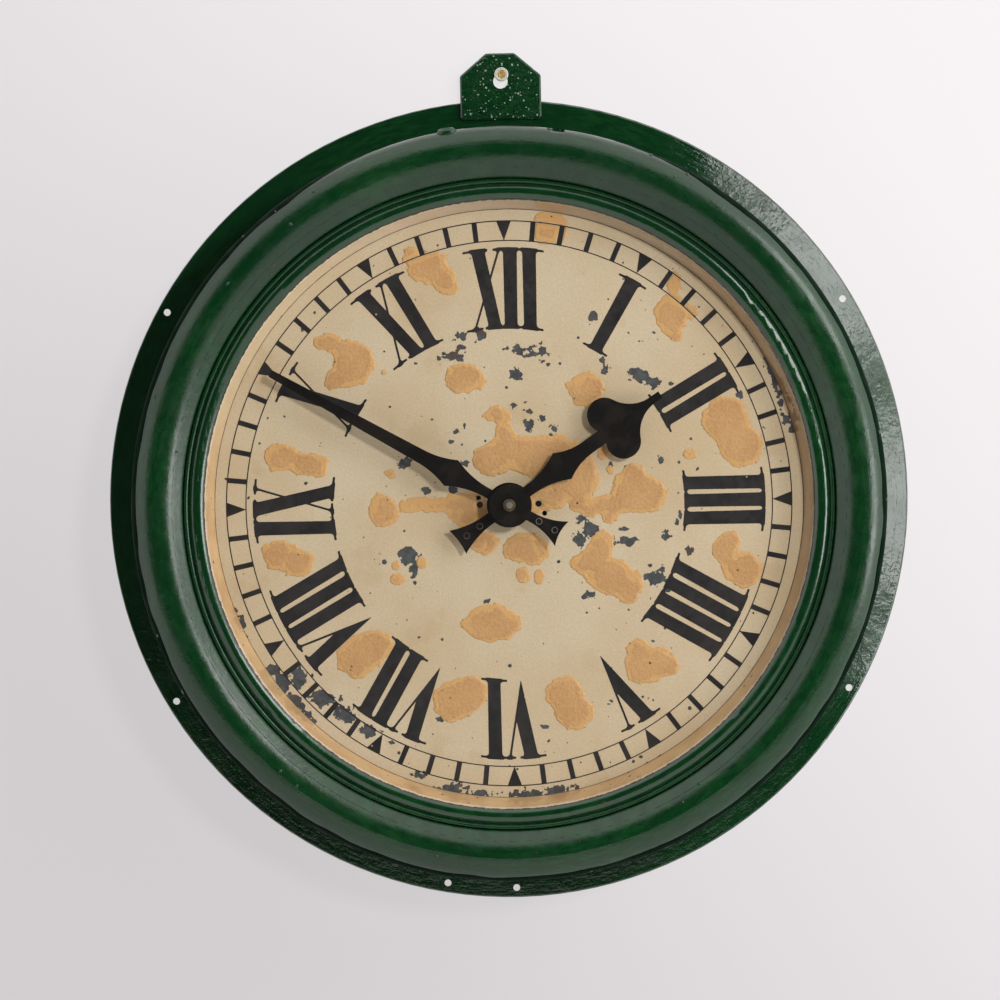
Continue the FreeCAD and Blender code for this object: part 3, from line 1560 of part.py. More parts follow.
def rounded_path(route):
    """Straight runs joined by tangent arcs, each as large as its two runs allow."""
    edges = []
    here = route[0]
    for index in range(1, len(route) - 1):
        before, corner, after = route[index - 1], route[index], route[index + 1]
        arriving = (corner - before).normalize()
        leaving = (after - corner).normalize()
        setback = LEAD_BEND_SHARE * min((corner - before).Length, (after - corner).Length)
        start = corner - arriving * setback
        end = corner + leaving * setback
        half_turn = arriving.getAngle(leaving) / 2
        radius = setback / math.tan(half_turn)
        inward = (leaving - arriving).normalize()
        middle = corner + inward * (radius / math.cos(half_turn) - radius)
        edges.append(Part.LineSegment(here, start).toShape())
        edges.append(Part.Arc(start, middle, end).toShape())
        print(f"lead bend radius {radius:.1f} mm")
        here = end
    edges.append(Part.LineSegment(here, route[-1]).toShape())
    return Part.Wire(edges), (route[0], route[-1])


make_flange()
make_drum()
make_bracket()
make_bezel()
make_dial()
screws_of_the_block = make_frame()
make_motion_work()
make_hands()
make_arbor()
make_lever()
make_pawls()
make_stops()
make_magnet()
make_terminals(screws_of_the_block)
doc.recompute()

for thing in doc.Objects:
    if {"Invalid", "Error"} & set(thing.State):
        raise RuntimeError(f"{thing.Label} failed: {thing.State}")
for piece in subparts:
    if piece.Shape.isNull() or not piece.Shape.isValid():
        raise RuntimeError(f"{piece.Label} has no valid shape")

os.makedirs("parts", exist_ok=True)
for piece in subparts:
    piece.Shape.exportStep(f"parts/{piece.Label}.step")
    print(f"{piece.Label}: {len(piece.Shape.Solids)} solids, {piece.Shape.Volume:.2f} mm3")
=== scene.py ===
"""Slave clock: the looks of the case, dial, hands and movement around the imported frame."""

from __future__ import annotations

import json
import logging
import math
from dataclasses import dataclass, field
from enum import Enum
from typing import Any, Callable, Sequence

import bpy
import numpy as np
from mathutils import Matrix, Vector
from mathutils.geometry import delaunay_2d_cdt

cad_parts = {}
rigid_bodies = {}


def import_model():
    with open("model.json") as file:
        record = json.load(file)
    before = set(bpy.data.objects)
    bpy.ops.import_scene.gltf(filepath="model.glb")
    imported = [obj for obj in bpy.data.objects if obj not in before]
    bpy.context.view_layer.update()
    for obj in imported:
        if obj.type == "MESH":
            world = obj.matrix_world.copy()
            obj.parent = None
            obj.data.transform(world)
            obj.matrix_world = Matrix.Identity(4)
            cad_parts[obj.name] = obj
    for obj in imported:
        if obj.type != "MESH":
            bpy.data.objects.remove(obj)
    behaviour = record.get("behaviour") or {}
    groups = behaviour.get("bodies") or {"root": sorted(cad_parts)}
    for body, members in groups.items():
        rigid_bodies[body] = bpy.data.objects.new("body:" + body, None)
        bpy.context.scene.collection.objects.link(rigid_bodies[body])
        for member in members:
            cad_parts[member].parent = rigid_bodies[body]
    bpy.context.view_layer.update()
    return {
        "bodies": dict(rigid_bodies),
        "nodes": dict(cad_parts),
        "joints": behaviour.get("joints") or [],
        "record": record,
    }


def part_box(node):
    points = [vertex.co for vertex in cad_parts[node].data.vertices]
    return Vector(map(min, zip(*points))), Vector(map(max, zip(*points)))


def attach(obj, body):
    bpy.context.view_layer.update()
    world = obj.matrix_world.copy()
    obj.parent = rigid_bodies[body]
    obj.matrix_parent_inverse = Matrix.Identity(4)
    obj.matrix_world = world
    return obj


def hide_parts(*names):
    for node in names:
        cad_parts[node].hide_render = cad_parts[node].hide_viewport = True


LOG = logging.getLogger("slave_clock")
MM = 0.001
FULL_TURN = 2.0 * math.pi

Array = np.ndarray
Colour = tuple[float, float, float, float]
Span = tuple[float, float]
Triple = tuple[float, float, float]
Loop = Array
Section = Sequence[Span]
Height = Callable[[Array, Array, Array], Array]
Mesh = bpy.types.Mesh
Node = bpy.types.Node
Socket = bpy.types.NodeSocket
Sockets = dict[str, Socket]


class Slot(Enum):
    """The record's material slots."""

    GREEN = "green_paint"
    BEZEL = "bezel_paint"
    DIAL = "dial_paint"
    HAND = "hand_black"
    NUT = "nut_brass"
    BRASS = "movement_brass"
    STEEL = "steel"
    IRON = "soft_iron"
    RESIN = "moulded_resin"
    COIL = "coil_wrap"
    LEAD = "lead_sleeve"


class Glyph(Enum):
    """The three letters that the hour numerals are made of."""

    ONE = "I"
    FIVE = "V"
    TEN = "X"


def paint(red: int, green: int, blue: int) -> Colour:
    """A colour as mixed for the eye, turned into the linear values that shaders take.

    Args:
        red: Red from 0 to 255.
        green: Green from 0 to 255.
        blue: Blue from 0 to 255.

    Returns:
        Linear red, green, blue and full opacity.
    """

    def linear(part: int) -> float:
        """One channel in linear light."""
        share = part / 255.0
        return share / 12.92 if share <= 0.04045 else ((share + 0.055) / 1.055) ** 2.4

    return (linear(red), linear(green), linear(blue), 1.0)


# Painted outlines and films


class SurfaceNoise:
    """Smooth seeded unevenness over the dial's plane."""

    CELLS = 256

    def __init__(self, seed: int) -> None:
        """Draws the table that the noise is read from, which the seed fixes."""
        self.table = np.random.default_rng(seed).uniform(-1.0, 1.0, (self.CELLS, self.CELLS))

    def at(self, x: Array, z: Array, length: float) -> Array:
        """Noise from -1 to 1 at points in millimetres.

        Args:
            x: Places to the right.
            z: Places upwards.
            length: Width of one swell of the noise.

        Returns:
            One value for each point.
        """
        across, up = x / length, z / length
        column, row = np.floor(across).astype(int), np.floor(up).astype(int)
        share_x, share_z = across - column, up - row
        share_x = share_x * share_x * (3.0 - 2.0 * share_x)
        share_z = share_z * share_z * (3.0 - 2.0 * share_z)
        left, right = column % self.CELLS, (column + 1) % self.CELLS
        low, high = row % self.CELLS, (row + 1) % self.CELLS
        lower = self.table[left, low] * (1 - share_x) + self.table[right, low] * share_x
        upper = self.table[left, high] * (1 - share_x) + self.table[right, high] * share_x
        return lower * (1 - share_z) + upper * share_z


def soft_union(first: Array, second: Array, fillet: float) -> Array:
    """Joins two fields, positive inside their forms, with a fillet in the corners."""
    share = np.maximum(fillet - np.abs(first - second), 0.0) / fillet
    return np.maximum(first, second) + share * share * fillet / 4.0


@dataclass
class Plane:
    """A square grid of points over part of the dial, in millimetres."""

    low: Span
    high: Span
    step: float
    xs: Array = field(init=False)
    zs: Array = field(init=False)

    def __post_init__(self) -> None:
        """Lays out the rows and columns."""
        self.xs = np.arange(self.low[0], self.high[0] + self.step, self.step)
        self.zs = np.arange(self.low[1], self.high[1] + self.step, self.step)

    def points(self) -> tuple[Array, Array]:
        """The places of all the grid points, as two tables."""
        return np.meshgrid(self.xs, self.zs, indexing="ij")

    def window(self, x: float, z: float, reach: float) -> tuple[slice, slice]:
        """The grid's columns and rows near a place.

        Args:
            x: The place's distance to the right.
            z: Its height.
            reach: How far the window goes to each side.

        Returns:
            Slices of columns and rows.
        """
        ends = [(int((at - reach - axis[0]) / self.step), int((at + reach - axis[0]) / self.step))
                for at, axis in ((x, self.xs), (z, self.zs))]
        return tuple(slice(max(0, low), max(0, high + 2)) for low, high in ends)

    def read(self, values: Array, x: Array, z: Array) -> Array:
        """Values of a table of the grid, read between its points.

        Args:
            values: One value for each grid point.
            x: Places to the right.
            z: Places upwards.

        Returns:
            One value for each place.
        """
        across = np.clip((x - self.xs[0]) / self.step, 0, len(self.xs) - 1.001)
        up = np.clip((z - self.zs[0]) / self.step, 0, len(self.zs) - 1.001)
        i, j = across.astype(int), up.astype(int)
        a, b = across - i, up - j
        lower = values[i, j] * (1 - a) + values[i + 1, j] * a
        upper = values[i, j + 1] * (1 - a) + values[i + 1, j + 1] * a
        return lower * (1 - b) + upper * b


@dataclass(frozen=True)
class Blot:
    """A round or long spot on the dial, in millimetres, turned clockwise by some degrees."""

    x: float
    z: float
    width: float
    height: float
    turn: float = 0.0
    margin: float = 6.0

    @property
    def least(self) -> float:
        """The smaller of its two widths."""
        return min(self.width, self.height)

    @property
    def reach(self) -> float:
        """How far round its middle it can matter."""
        return max(self.width, self.height) / 2.0 + self.margin

    def depth(self, x: Array, z: Array) -> Array:
        """How far points lie inside the spot.

        Args:
            x: Places to the right.
            z: Places upwards.

        Returns:
            The spot's field.
        """
        lean = math.radians(self.turn)
        along = (x - self.x) * math.cos(lean) - (z - self.z) * math.sin(lean)
        up = (x - self.x) * math.sin(lean) + (z - self.z) * math.cos(lean)
        far = np.hypot(2.0 * along / self.width, 2.0 * up / self.height)
        return (1.0 - far) * self.least / 2.0


class Outliner:
    """Follows the lines along which a field on a grid passes through zero."""

    ROUNDS = 6
    FEWEST = 8
    STEPS: dict[int, list[tuple[int, int]]] = {
        1: [(0, 3)], 2: [(1, 0)], 3: [(1, 3)], 4: [(2, 1)], 6: [(2, 0)], 7: [(2, 3)],
        8: [(3, 2)], 9: [(0, 2)], 11: [(1, 2)], 12: [(3, 1)], 13: [(0, 1)], 14: [(3, 0)],
    }
    SADDLES: dict[tuple[int, bool], list[tuple[int, int]]] = {
        (5, False): [(0, 3), (2, 1)], (5, True): [(0, 1), (2, 3)],
        (10, False): [(1, 0), (3, 2)], (10, True): [(1, 2), (3, 0)],
    }

    def __init__(self, plane: Plane, values: Array) -> None:
        """Takes the field, closed along the grid's border.

        Args:
            plane: The grid.
            values: The field, positive inside the form.
        """
        self.plane = plane
        self.values = values.copy()
        for edge in (np.s_[0, :], np.s_[-1, :], np.s_[:, 0], np.s_[:, -1]):
            self.values[edge] = np.minimum(self.values[edge], -plane.step)

    def crossing(self, key: tuple[int, int, int]) -> Span:
        """The point at which the field is zero on one side of a cell.

        Args:
            key: Whether the side runs upwards, and its column and row.

        Returns:
            The point in millimetres.
        """
        upwards, i, j = key
        start = self.values[i, j]
        end = self.values[i, j + 1] if upwards else self.values[i + 1, j]
        share = start / (start - end)
        x, z = self.plane.xs[i], self.plane.zs[j]
        step = self.plane.step * share
        return (x, z + step) if upwards else (x + step, z)

    def loops(self, slack: float) -> list[Loop]:
        """All closed outlines, with the form on their left.

        Args:
            slack: How far a point may lie off the line of its neighbours and be left out.

        Returns:
            One table of points for each outline.
        """
        inside = self.values > 0.0
        code = (inside[:-1, :-1] * 1 + inside[1:, :-1] * 2
                + inside[1:, 1:] * 4 + inside[:-1, 1:] * 8)
        follow: dict[tuple[int, int, int], tuple[int, int, int]] = {}
        for i, j in zip(*np.nonzero((code > 0) & (code < 15))):
            i, j, kind = int(i), int(j), int(code[i, j])
            sides = ((0, i, j), (1, i + 1, j), (0, i, j + 1), (1, i, j))
            if kind in (5, 10):
                middle = bool(self.values[i:i + 2, j:j + 2].mean() > 0.0)
                pairs = self.SADDLES[(kind, middle)]
            else:
                pairs = self.STEPS[kind]
            for start, end in pairs:
                follow[sides[start]] = sides[end]
        found: list[Loop] = []
        while follow:
            key, after = follow.popitem()
            path = [key]
            while after != key:
                path.append(after)
                after = follow.pop(after)
            found.append(self.eased(np.array([self.crossing(k) for k in path]), slack))
        return [loop for loop in found if len(loop) > 3]

    def eased(self, loop: Loop, slack: float) -> Loop:
        """An outline without the points that add nothing to its shape.

        Args:
            loop: The outline.
            slack: How far a point may lie off the line of its neighbours.

        Returns:
            The outline with fewer points.
        """
        for turn in range(self.ROUNDS):
            if len(loop) < self.FEWEST:
                break
            before, after = np.roll(loop, 1, axis=0), np.roll(loop, -1, axis=0)
            run = after - before
            length = np.maximum(np.hypot(run[:, 0], run[:, 1]), 1e-9)
            off = np.abs(run[:, 0] * (loop - before)[:, 1] - run[:, 1] * (loop - before)[:, 0])
            keep = off / length > slack
            keep[turn % 2::2] = True
            loop = loop[keep]
        return loop


class Film:
    """A thin layer on the dial, from a field that is positive where it covers."""

    CLEAR_SHARE = 0.4
    MERGE = 1e-5

    def __init__(self, plane: Plane, values: Array, slack: float = 0.015) -> None:
        """Finds the layer's outlines.

        Args:
            plane: The grid.
            values: The field.
            slack: How closely the outlines follow the field.
        """
        self.plane = plane
        self.values = values
        self.outlines = Outliner(plane, values).loops(slack)

    def triangles(self, spacing: float = 0.0) -> tuple[Array, Array]:
        """The layer's points and triangles.

        Args:
            spacing: Distance of points inside the outlines, or 0 for none.

        Returns:
            Points in millimetres and triples of their numbers.
        """
        points: list[Vector] = []
        edges: list[tuple[int, int]] = []
        for loop in self.outlines:
            first = len(points)
            points.extend(Vector((float(x), float(z))) for x, z in loop)
            count = len(loop)
            edges.extend((first + k, first + (k + 1) % count) for k in range(count))
        if spacing > 0.0:
            inner = Plane(self.plane.low, self.plane.high, spacing)
            x, z = inner.points()
            x = x + (np.arange(len(inner.zs)) % 2)[None, :] * spacing / 2.0
            deep = self.plane.read(self.values, x, z) > spacing * self.CLEAR_SHARE
            points.extend(Vector((float(a), float(b))) for a, b in zip(x[deep], z[deep]))
        corners, _, faces, *_ = delaunay_2d_cdt(points, edges, [], 0, self.MERGE)
        places = np.array([(p.x, p.y) for p in corners])
        triples = np.array([f for f in faces if len(f) == 3], int)
        middle = places[triples].mean(axis=1)
        covered = self.plane.read(self.values, middle[:, 0], middle[:, 1]) > 0.0
        return places, triples[covered]

    def mesh(self, name: str, base: float, height: Height,
             spacing: float = 0.0) -> Mesh:
        """The layer as a closed solid.

        Args:
            name: Name of the mesh.
            base: Height of its back above the wall, in millimetres.
            height: Gives the height of its front from the places and the field there.
            spacing: Distance of points inside the outlines, or 0 for none.

        Returns:
            The mesh.
        """
        places, triples = self.triangles(spacing)
        used, triples = np.unique(triples, return_inverse=True)
        triples = triples.reshape(-1, 3)
        places = places[used]
        depth = self.plane.read(self.values, places[:, 0], places[:, 1])
        front = height(places[:, 0], places[:, 1], np.maximum(depth, 0.0))
        count = len(places)
        vertices = np.zeros((2 * count, 3))
        vertices[:count] = np.column_stack((places[:, 0], -front, places[:, 1]))
        vertices[count:] = np.column_stack((places[:, 0], np.full(count, -base), places[:, 1]))
        sides = np.concatenate((triples[:, [0, 1]], triples[:, [1, 2]], triples[:, [2, 0]]))
        known = {(int(a), int(b)) for a, b in sides}
        rim = [(a, b) for a, b in known if (b, a) not in known]
        faces: list[Sequence[int]] = [tuple(map(int, t)) for t in triples]
        faces += [(int(c) + count, int(b) + count, int(a) + count) for a, b, c in triples]
        faces += [(b, a, a + count, b + count) for a, b in sorted(rim)]
        return new_mesh(name, (vertices * MM).tolist(), faces, checked=True)


# Nodes and finishes


class Sheet:
    """Adds and joins the nodes of one tree."""

    def __init__(self, tree: bpy.types.NodeTree) -> None:
        """Takes the tree to work on."""
        self.tree = tree

    def add(self, kind: str, inputs: dict[Any, Any] | None = None,
            **settings: Any) -> Node:
        """Adds a node.

        Args:
            kind: The node's type.
            inputs: Values or sockets for its inputs, by name or number.
            settings: Its own settings.

        Returns:
            The node.
        """
        node = self.tree.nodes.new(kind)
        for name, setting in settings.items():
            setattr(node, name, setting)
        for name, given in (inputs or {}).items():
            self.feed(node.inputs[name], given)
        return node

    def feed(self, socket: Socket, given: Any) -> None:
        """Joins a socket to another one, or sets its value.

        Args:
            socket: The socket to join or set.
            given: A value, or the socket that leads to it.
        """
        if isinstance(given, Socket):
            self.tree.links.new(given, socket)
        else:
            socket.default_value = given

    def place(self) -> Socket:
        """Socket of the place on the object, in metres."""
        return self.add("ShaderNodeTexCoord").outputs["Object"]

    def parts(self, vector: Any) -> Sequence[Socket]:
        """Sockets of a vector's three parts."""
        return self.add("ShaderNodeSeparateXYZ", {0: vector}).outputs

    def vector(self, operation: str, first: Any, second: Any = (0.0, 0.0, 0.0)) -> Node:
        """One step of arithmetic with vectors."""
        return self.add("ShaderNodeVectorMath", {0: first, 1: second}, operation=operation)

    def sum(self, operation: str, first: Any, second: Any = 0.0) -> Socket:
        """One step of arithmetic."""
        return self.add("ShaderNodeMath", {0: first, 1: second}, operation=operation).outputs[0]

    def weighed(self, first: Any, share: float, second: Any, other: float) -> Socket:
        """Adds two values, each times its own weight."""
        return self.sum("ADD", self.sum("MULTIPLY", first, share),
                        self.sum("MULTIPLY", second, other))

    def blend(self, share: Any, first: Any, second: Any) -> Socket:
        """Mixes two colours by the share of the second."""
        node = self.add("ShaderNodeMix", {0: share, 6: first, 7: second}, data_type="RGBA")
        return node.outputs[2]

    def between(self, value: Any, low: float, high: float, to_low: float = 0.0,
                to_high: float = 1.0) -> Socket:
        """Stretches a range of values onto another, with soft ends.

        Args:
            value: Value or socket.
            low: Start of the range.
            high: End of the range.
            to_low: Result at the start.
            to_high: Result at the end.

        Returns:
            The result's socket.
        """
        node = self.add("ShaderNodeMapRange", {0: value, 1: low, 2: high, 3: to_low, 4: to_high},
                        interpolation_type="SMOOTHSTEP")
        return node.outputs[0]

    def noise(self, place: Any, scale: Any, detail: float = 3.0,
              rough: float = 0.55) -> Socket:
        """Cloudy noise from 0 to 1.

        Args:
            place: Socket of the place.
            scale: Swells to the metre.
            detail: Number of finer layers.
            rough: Weight of the finer layers.

        Returns:
            The noise's socket.
        """
        node = self.add("ShaderNodeTexNoise",
                        {"Vector": place, "Scale": scale, "Detail": detail, "Roughness": rough})
        return node.outputs["Fac"]


class Effect:
    """A shared surface effect, kept as one node group with named sockets."""

    made: dict[str, bpy.types.NodeTree] = {}
    name = "effect"
    inputs: dict[str, float] = {}
    outputs: tuple[str, ...] = ()

    def build(self, sheet: Sheet, given: Sockets, place: Socket) -> Sockets:
        """Makes the effect's nodes.

        Args:
            sheet: The group's own sheet.
            given: Sockets of the named inputs.
            place: Socket of the place, in metres.

        Returns:
            Sockets for the named outputs.
        """
        raise NotImplementedError

    def group(self) -> bpy.types.NodeTree:
        """The node group, made on first use.

        Returns:
            The group's tree.
        """
        if self.name not in Effect.made:
            tree = bpy.data.node_groups.new(self.name, "ShaderNodeTree")
            for label, start in self.inputs.items():
                socket = tree.interface.new_socket(
                    name=label, in_out="INPUT", socket_type="NodeSocketFloat")
                socket.default_value = start
            for label in self.outputs:
                tree.interface.new_socket(
                    name=label, in_out="OUTPUT", socket_type="NodeSocketFloat")
            sheet = Sheet(tree)
            entry, leave = sheet.add("NodeGroupInput"), sheet.add("NodeGroupOutput")
            place = sheet.place()
            given = {label: entry.outputs[label] for label in self.inputs}
            for label, socket in self.build(sheet, given, place).items():
                sheet.feed(leave.inputs[label], socket)
            Effect.made[self.name] = tree
        return Effect.made[self.name]

    def placed(self, sheet: Sheet, **values: float) -> Sockets:
        """Puts the effect into a material.

        Args:
            sheet: The material's sheet.
            values: The effect's inputs by name.

        Returns:
            Sockets of the named outputs.
        """
        node = sheet.add("ShaderNodeGroup", node_tree=self.group())
        for label, amount in values.items():
            node.inputs[label].default_value = amount
        return {label: node.outputs[label] for label in self.outputs}


class BrushMarks(Effect):
    """Brush streaks that run round the case, over the fine swells of thick paint."""

    name = "brush_marks"
    inputs = {"turns": 24.0, "across": 500.0, "swell": 330.0}
    outputs = ("streak", "height", "grit")
    shares = (0.45, 0.55)
    grit_ratio = 3.1
    grit_span = (0.45, 0.75)

    def build(self, sheet: Sheet, given: Sockets, place: Socket) -> Sockets:
        """Makes the streaks, the paint's relief and its grit.

        Args:
            sheet: The group's own sheet.
            given: Sockets of the named inputs.
            place: Socket of the place, in metres.

        Returns:
            Sockets for the named outputs.
        """
        part = sheet.parts(place)
        flat = sheet.add("ShaderNodeCombineXYZ", {0: part[0], 2: part[2]}).outputs[0]
        way = sheet.parts(sheet.vector("NORMALIZE", flat).outputs[0])
        lift = sheet.sum("ADD", sheet.vector("LENGTH", flat).outputs["Value"], part[1])
        combined = sheet.add("ShaderNodeCombineXYZ", {
            0: sheet.sum("MULTIPLY", way[0], given["turns"]),
            1: sheet.sum("MULTIPLY", lift, given["across"]),
            2: sheet.sum("MULTIPLY", way[2], given["turns"])})
        streak = sheet.noise(combined.outputs[0], 1.0, 3.0)
        peel = sheet.noise(place, given["swell"], 2.0, 0.45)
        height = sheet.weighed(streak, self.shares[0], peel, self.shares[1])
        grit = sheet.noise(place, sheet.sum("MULTIPLY", given["swell"], self.grit_ratio), 1.0, 0.4)
        return {"streak": streak, "height": height, "grit": sheet.between(grit, *self.grit_span)}


class RimBend(Effect):
    """The slope of a flange that is bent back a little on its right side."""

    name = "rim_bend"
    inputs = {"slope": 0.15, "start": 0.222}
    outputs = ("height",)
    side = (0.966, 0.0, 0.259)
    side_span = (0.55, 0.85)

    def build(self, sheet: Sheet, given: Sockets, place: Socket) -> Sockets:
        """Makes the slope, which fades towards the rest of the flange.

        Args:
            sheet: The group's own sheet.
            given: Sockets of the named inputs.
            place: Socket of the place, in metres.

        Returns:
            Sockets for the named outputs.
        """
        part = sheet.parts(place)
        flat = sheet.add("ShaderNodeCombineXYZ", {0: part[0], 2: part[2]}).outputs[0]
        unit = sheet.vector("NORMALIZE", flat).outputs[0]
        facing = sheet.vector("DOT_PRODUCT", unit, self.side).outputs["Value"]
        share = sheet.between(facing, *self.side_span)
        out = sheet.sum("SUBTRACT", given["start"], sheet.vector("LENGTH", flat).outputs["Value"])
        height = sheet.sum("MULTIPLY", sheet.sum("MULTIPLY", out, given["slope"]), share)
        return {"height": height}


class Flecks(Effect):
    """Small sharp flecks, scattered and of uneven size."""

    name = "flecks"
    inputs = {"scale": 300.0, "share": 0.2}
    outputs = ("mask",)
    shake = (0.0012, 0.0012, 0.0012)
    edge = (-0.015, 0.03)

    def build(self, sheet: Sheet, given: Sockets, place: Socket) -> Sockets:
        """Makes the flecks from cells of uneven reach.

        Args:
            sheet: The group's own sheet.
            given: Sockets of the named inputs.
            place: Socket of the place, in metres.

        Returns:
            Sockets for the named outputs.
        """
        shaken = sheet.add("ShaderNodeTexNoise", {"Vector": place, "Scale": given["scale"],
                                                  "Detail": 2.0})
        moved = sheet.vector("MULTIPLY", shaken.outputs["Color"], self.shake)
        where = sheet.vector("ADD", place, moved.outputs[0])
        cells = sheet.add("ShaderNodeTexVoronoi", {"Vector": where.outputs[0],
                                                   "Scale": given["scale"]})
        pick = sheet.add("ShaderNodeSeparateColor", {0: cells.outputs["Color"]})
        reach = sheet.sum("MULTIPLY", sheet.sum("POWER", pick.outputs[0], 3.0), given["share"])
        gap = sheet.sum("SUBTRACT", reach, cells.outputs["Distance"])
        return {"mask": sheet.between(gap, *self.edge)}


class Clouding(Effect):
    """Broad uneven tone with finer mottling inside it."""

    name = "clouding"
    inputs = {"scale": 20.0, "fine": 160.0}
    outputs = ("broad", "fine")
    span = (0.3, 0.7)

    def build(self, sheet: Sheet, given: Sockets, place: Socket) -> Sockets:
        """Makes the broad tone and the mottling.

        Args:
            sheet: The group's own sheet.
            given: Sockets of the named inputs.
            place: Socket of the place, in metres.

        Returns:
            Sockets for the named outputs.
        """
        broad = sheet.between(sheet.noise(place, given["scale"], 4.0), *self.span)
        fine = sheet.between(sheet.noise(place, given["fine"], 3.0), *self.span)
        return {"broad": broad, "fine": fine}


class TopDust(Effect):
    """Dust that settles on what faces upwards."""

    name = "top_dust"
    inputs = {"scale": 90.0, "amount": 0.3}
    outputs = ("mask",)
    facing_span = (0.35, 1.0)
    cloud_span = (0.35, 0.75)

    def build(self, sheet: Sheet, given: Sockets, place: Socket) -> Sockets:
        """Makes a cloudy mask of what faces upwards.

        Args:
            sheet: The group's own sheet.
            given: Sockets of the named inputs.
            place: Socket of the place, in metres.

        Returns:
            Sockets for the named outputs.
        """
        normal = sheet.add("ShaderNodeTexCoord").outputs["Normal"]
        up = sheet.between(sheet.parts(normal)[2], *self.facing_span)
        cloud = sheet.between(sheet.noise(place, given["scale"], 4.0, 0.7), *self.cloud_span)
        mask = sheet.sum("MULTIPLY", sheet.sum("MULTIPLY", up, cloud), given["amount"])
        return {"mask": mask}


class FineLines(Effect):
    """Fine lines left by a file or emery on metal."""

    name = "fine_lines"
    inputs = {"along": 60.0, "across": 2400.0}
    outputs = ("line",)

    def build(self, sheet: Sheet, given: Sockets, place: Socket) -> Sockets:
        """Makes the lines from drawn-out noise.

        Args:
            sheet: The group's own sheet.
            given: Sockets of the named inputs.
            place: Socket of the place, in metres.

        Returns:
            Sockets for the named outputs.
        """
        drawn = sheet.add("ShaderNodeCombineXYZ", {
            number: sheet.sum("MULTIPLY", part, given[way]) for number, (part, way)
            in enumerate(zip(sheet.parts(place), ("across", "across", "along")))})
        return {"line": sheet.noise(drawn.outputs[0], 1.0, 2.0)}


@dataclass(frozen=True)
class Finish:
    """A finish with its own material."""

    name: str

    def dress(self, sheet: Sheet, shader: Node) -> None:
        """Gives the shader its colour, gloss and relief."""
        raise NotImplementedError

    def bump(self, sheet: Sheet, shader: Node, height: Any, depth: float,
             strength: float = 1.0) -> None:
        """Gives the shader a relief.

        Args:
            sheet: The material's sheet.
            shader: The shader.
            height: Socket of the relief, in parts of its depth.
            depth: That depth in millimetres.
            strength: How much of it shows.
        """
        node = sheet.add("ShaderNodeBump", {"Height": height, "Distance": depth * MM,
                                            "Strength": strength})
        sheet.feed(shader.inputs["Normal"], node.outputs[0])

    def material(self) -> bpy.types.Material:
        """The finish's material, made on first use.

        Returns:
            The material.
        """
        ready = bpy.data.materials.get(self.name)
        if ready:
            return ready
        made = bpy.data.materials.new(self.name)
        made.use_nodes = True
        made.node_tree.nodes.clear()
        sheet = Sheet(made.node_tree)
        shader = sheet.add("ShaderNodeBsdfPrincipled")
        leave = sheet.add("ShaderNodeOutputMaterial")
        sheet.feed(leave.inputs["Surface"], shader.outputs[0])
        self.dress(sheet, shader)
        return made


@dataclass(frozen=True)
class CasePaint(Finish):
    """Thick glossy green, put on with a brush."""

    deep: Colour = paint(5, 46, 20)
    pale: Colour = paint(18, 68, 30)
    dusty: Colour = paint(120, 128, 112)
    rust: Colour = paint(66, 44, 30)
    relief: float = 0.3
    grit: float = 0.03
    swell: float = 330.0
    bend: float = 0.0
    gloss: Span = (0.2, 0.34)
    coat: float = 0.4
    mirror: float = 0.5
    fleck: Span = (75.0, 0.09)

    def green(self, sheet: Sheet, shader: Node) -> Socket:
        """Sets the paint's gloss and relief and gives its colour.

        Args:
            sheet: The material's sheet.
            shader: The material's shader.

        Returns:
            The colour's socket.
        """
        marks = BrushMarks().placed(sheet, swell=self.swell)
        cloud = Clouding().placed(sheet, scale=9.0, fine=70.0)
        tone = sheet.sum("MULTIPLY", sheet.between(marks["streak"], 0.3, 0.72), cloud["broad"])
        colour = sheet.blend(tone, self.deep, self.pale)
        dust = TopDust().placed(sheet, amount=0.10)
        colour = sheet.blend(dust["mask"], colour, self.dusty)
        # Flecks in the rust colour: rust on the case; on the bracket, pale flecks that are white
        # paint spatter and painted glints.
        bare = Flecks().placed(sheet, scale=self.fleck[0], share=self.fleck[1])
        colour = sheet.blend(bare["mask"], colour, self.rust)
        rough = sheet.between(cloud["fine"], 0.0, 1.0, *self.gloss)
        sheet.feed(shader.inputs["Roughness"], rough)
        shader.inputs["Specular IOR Level"].default_value = self.mirror
        shader.inputs["Coat Weight"].default_value = self.coat
        shader.inputs["Coat Roughness"].default_value = self.gloss[0]
        height = sheet.weighed(marks["height"], self.relief * MM, marks["grit"], self.grit * MM)
        if self.bend:
            height = sheet.sum("ADD", height, RimBend().placed(sheet, slope=self.bend)["height"])
        self.bump(sheet, shader, height, 1.0 / MM)
        return colour

    def dress(self, sheet: Sheet, shader: Node) -> None:
        """Gives the shader the green paint."""
        sheet.feed(shader.inputs["Base Color"], self.green(sheet, shader))


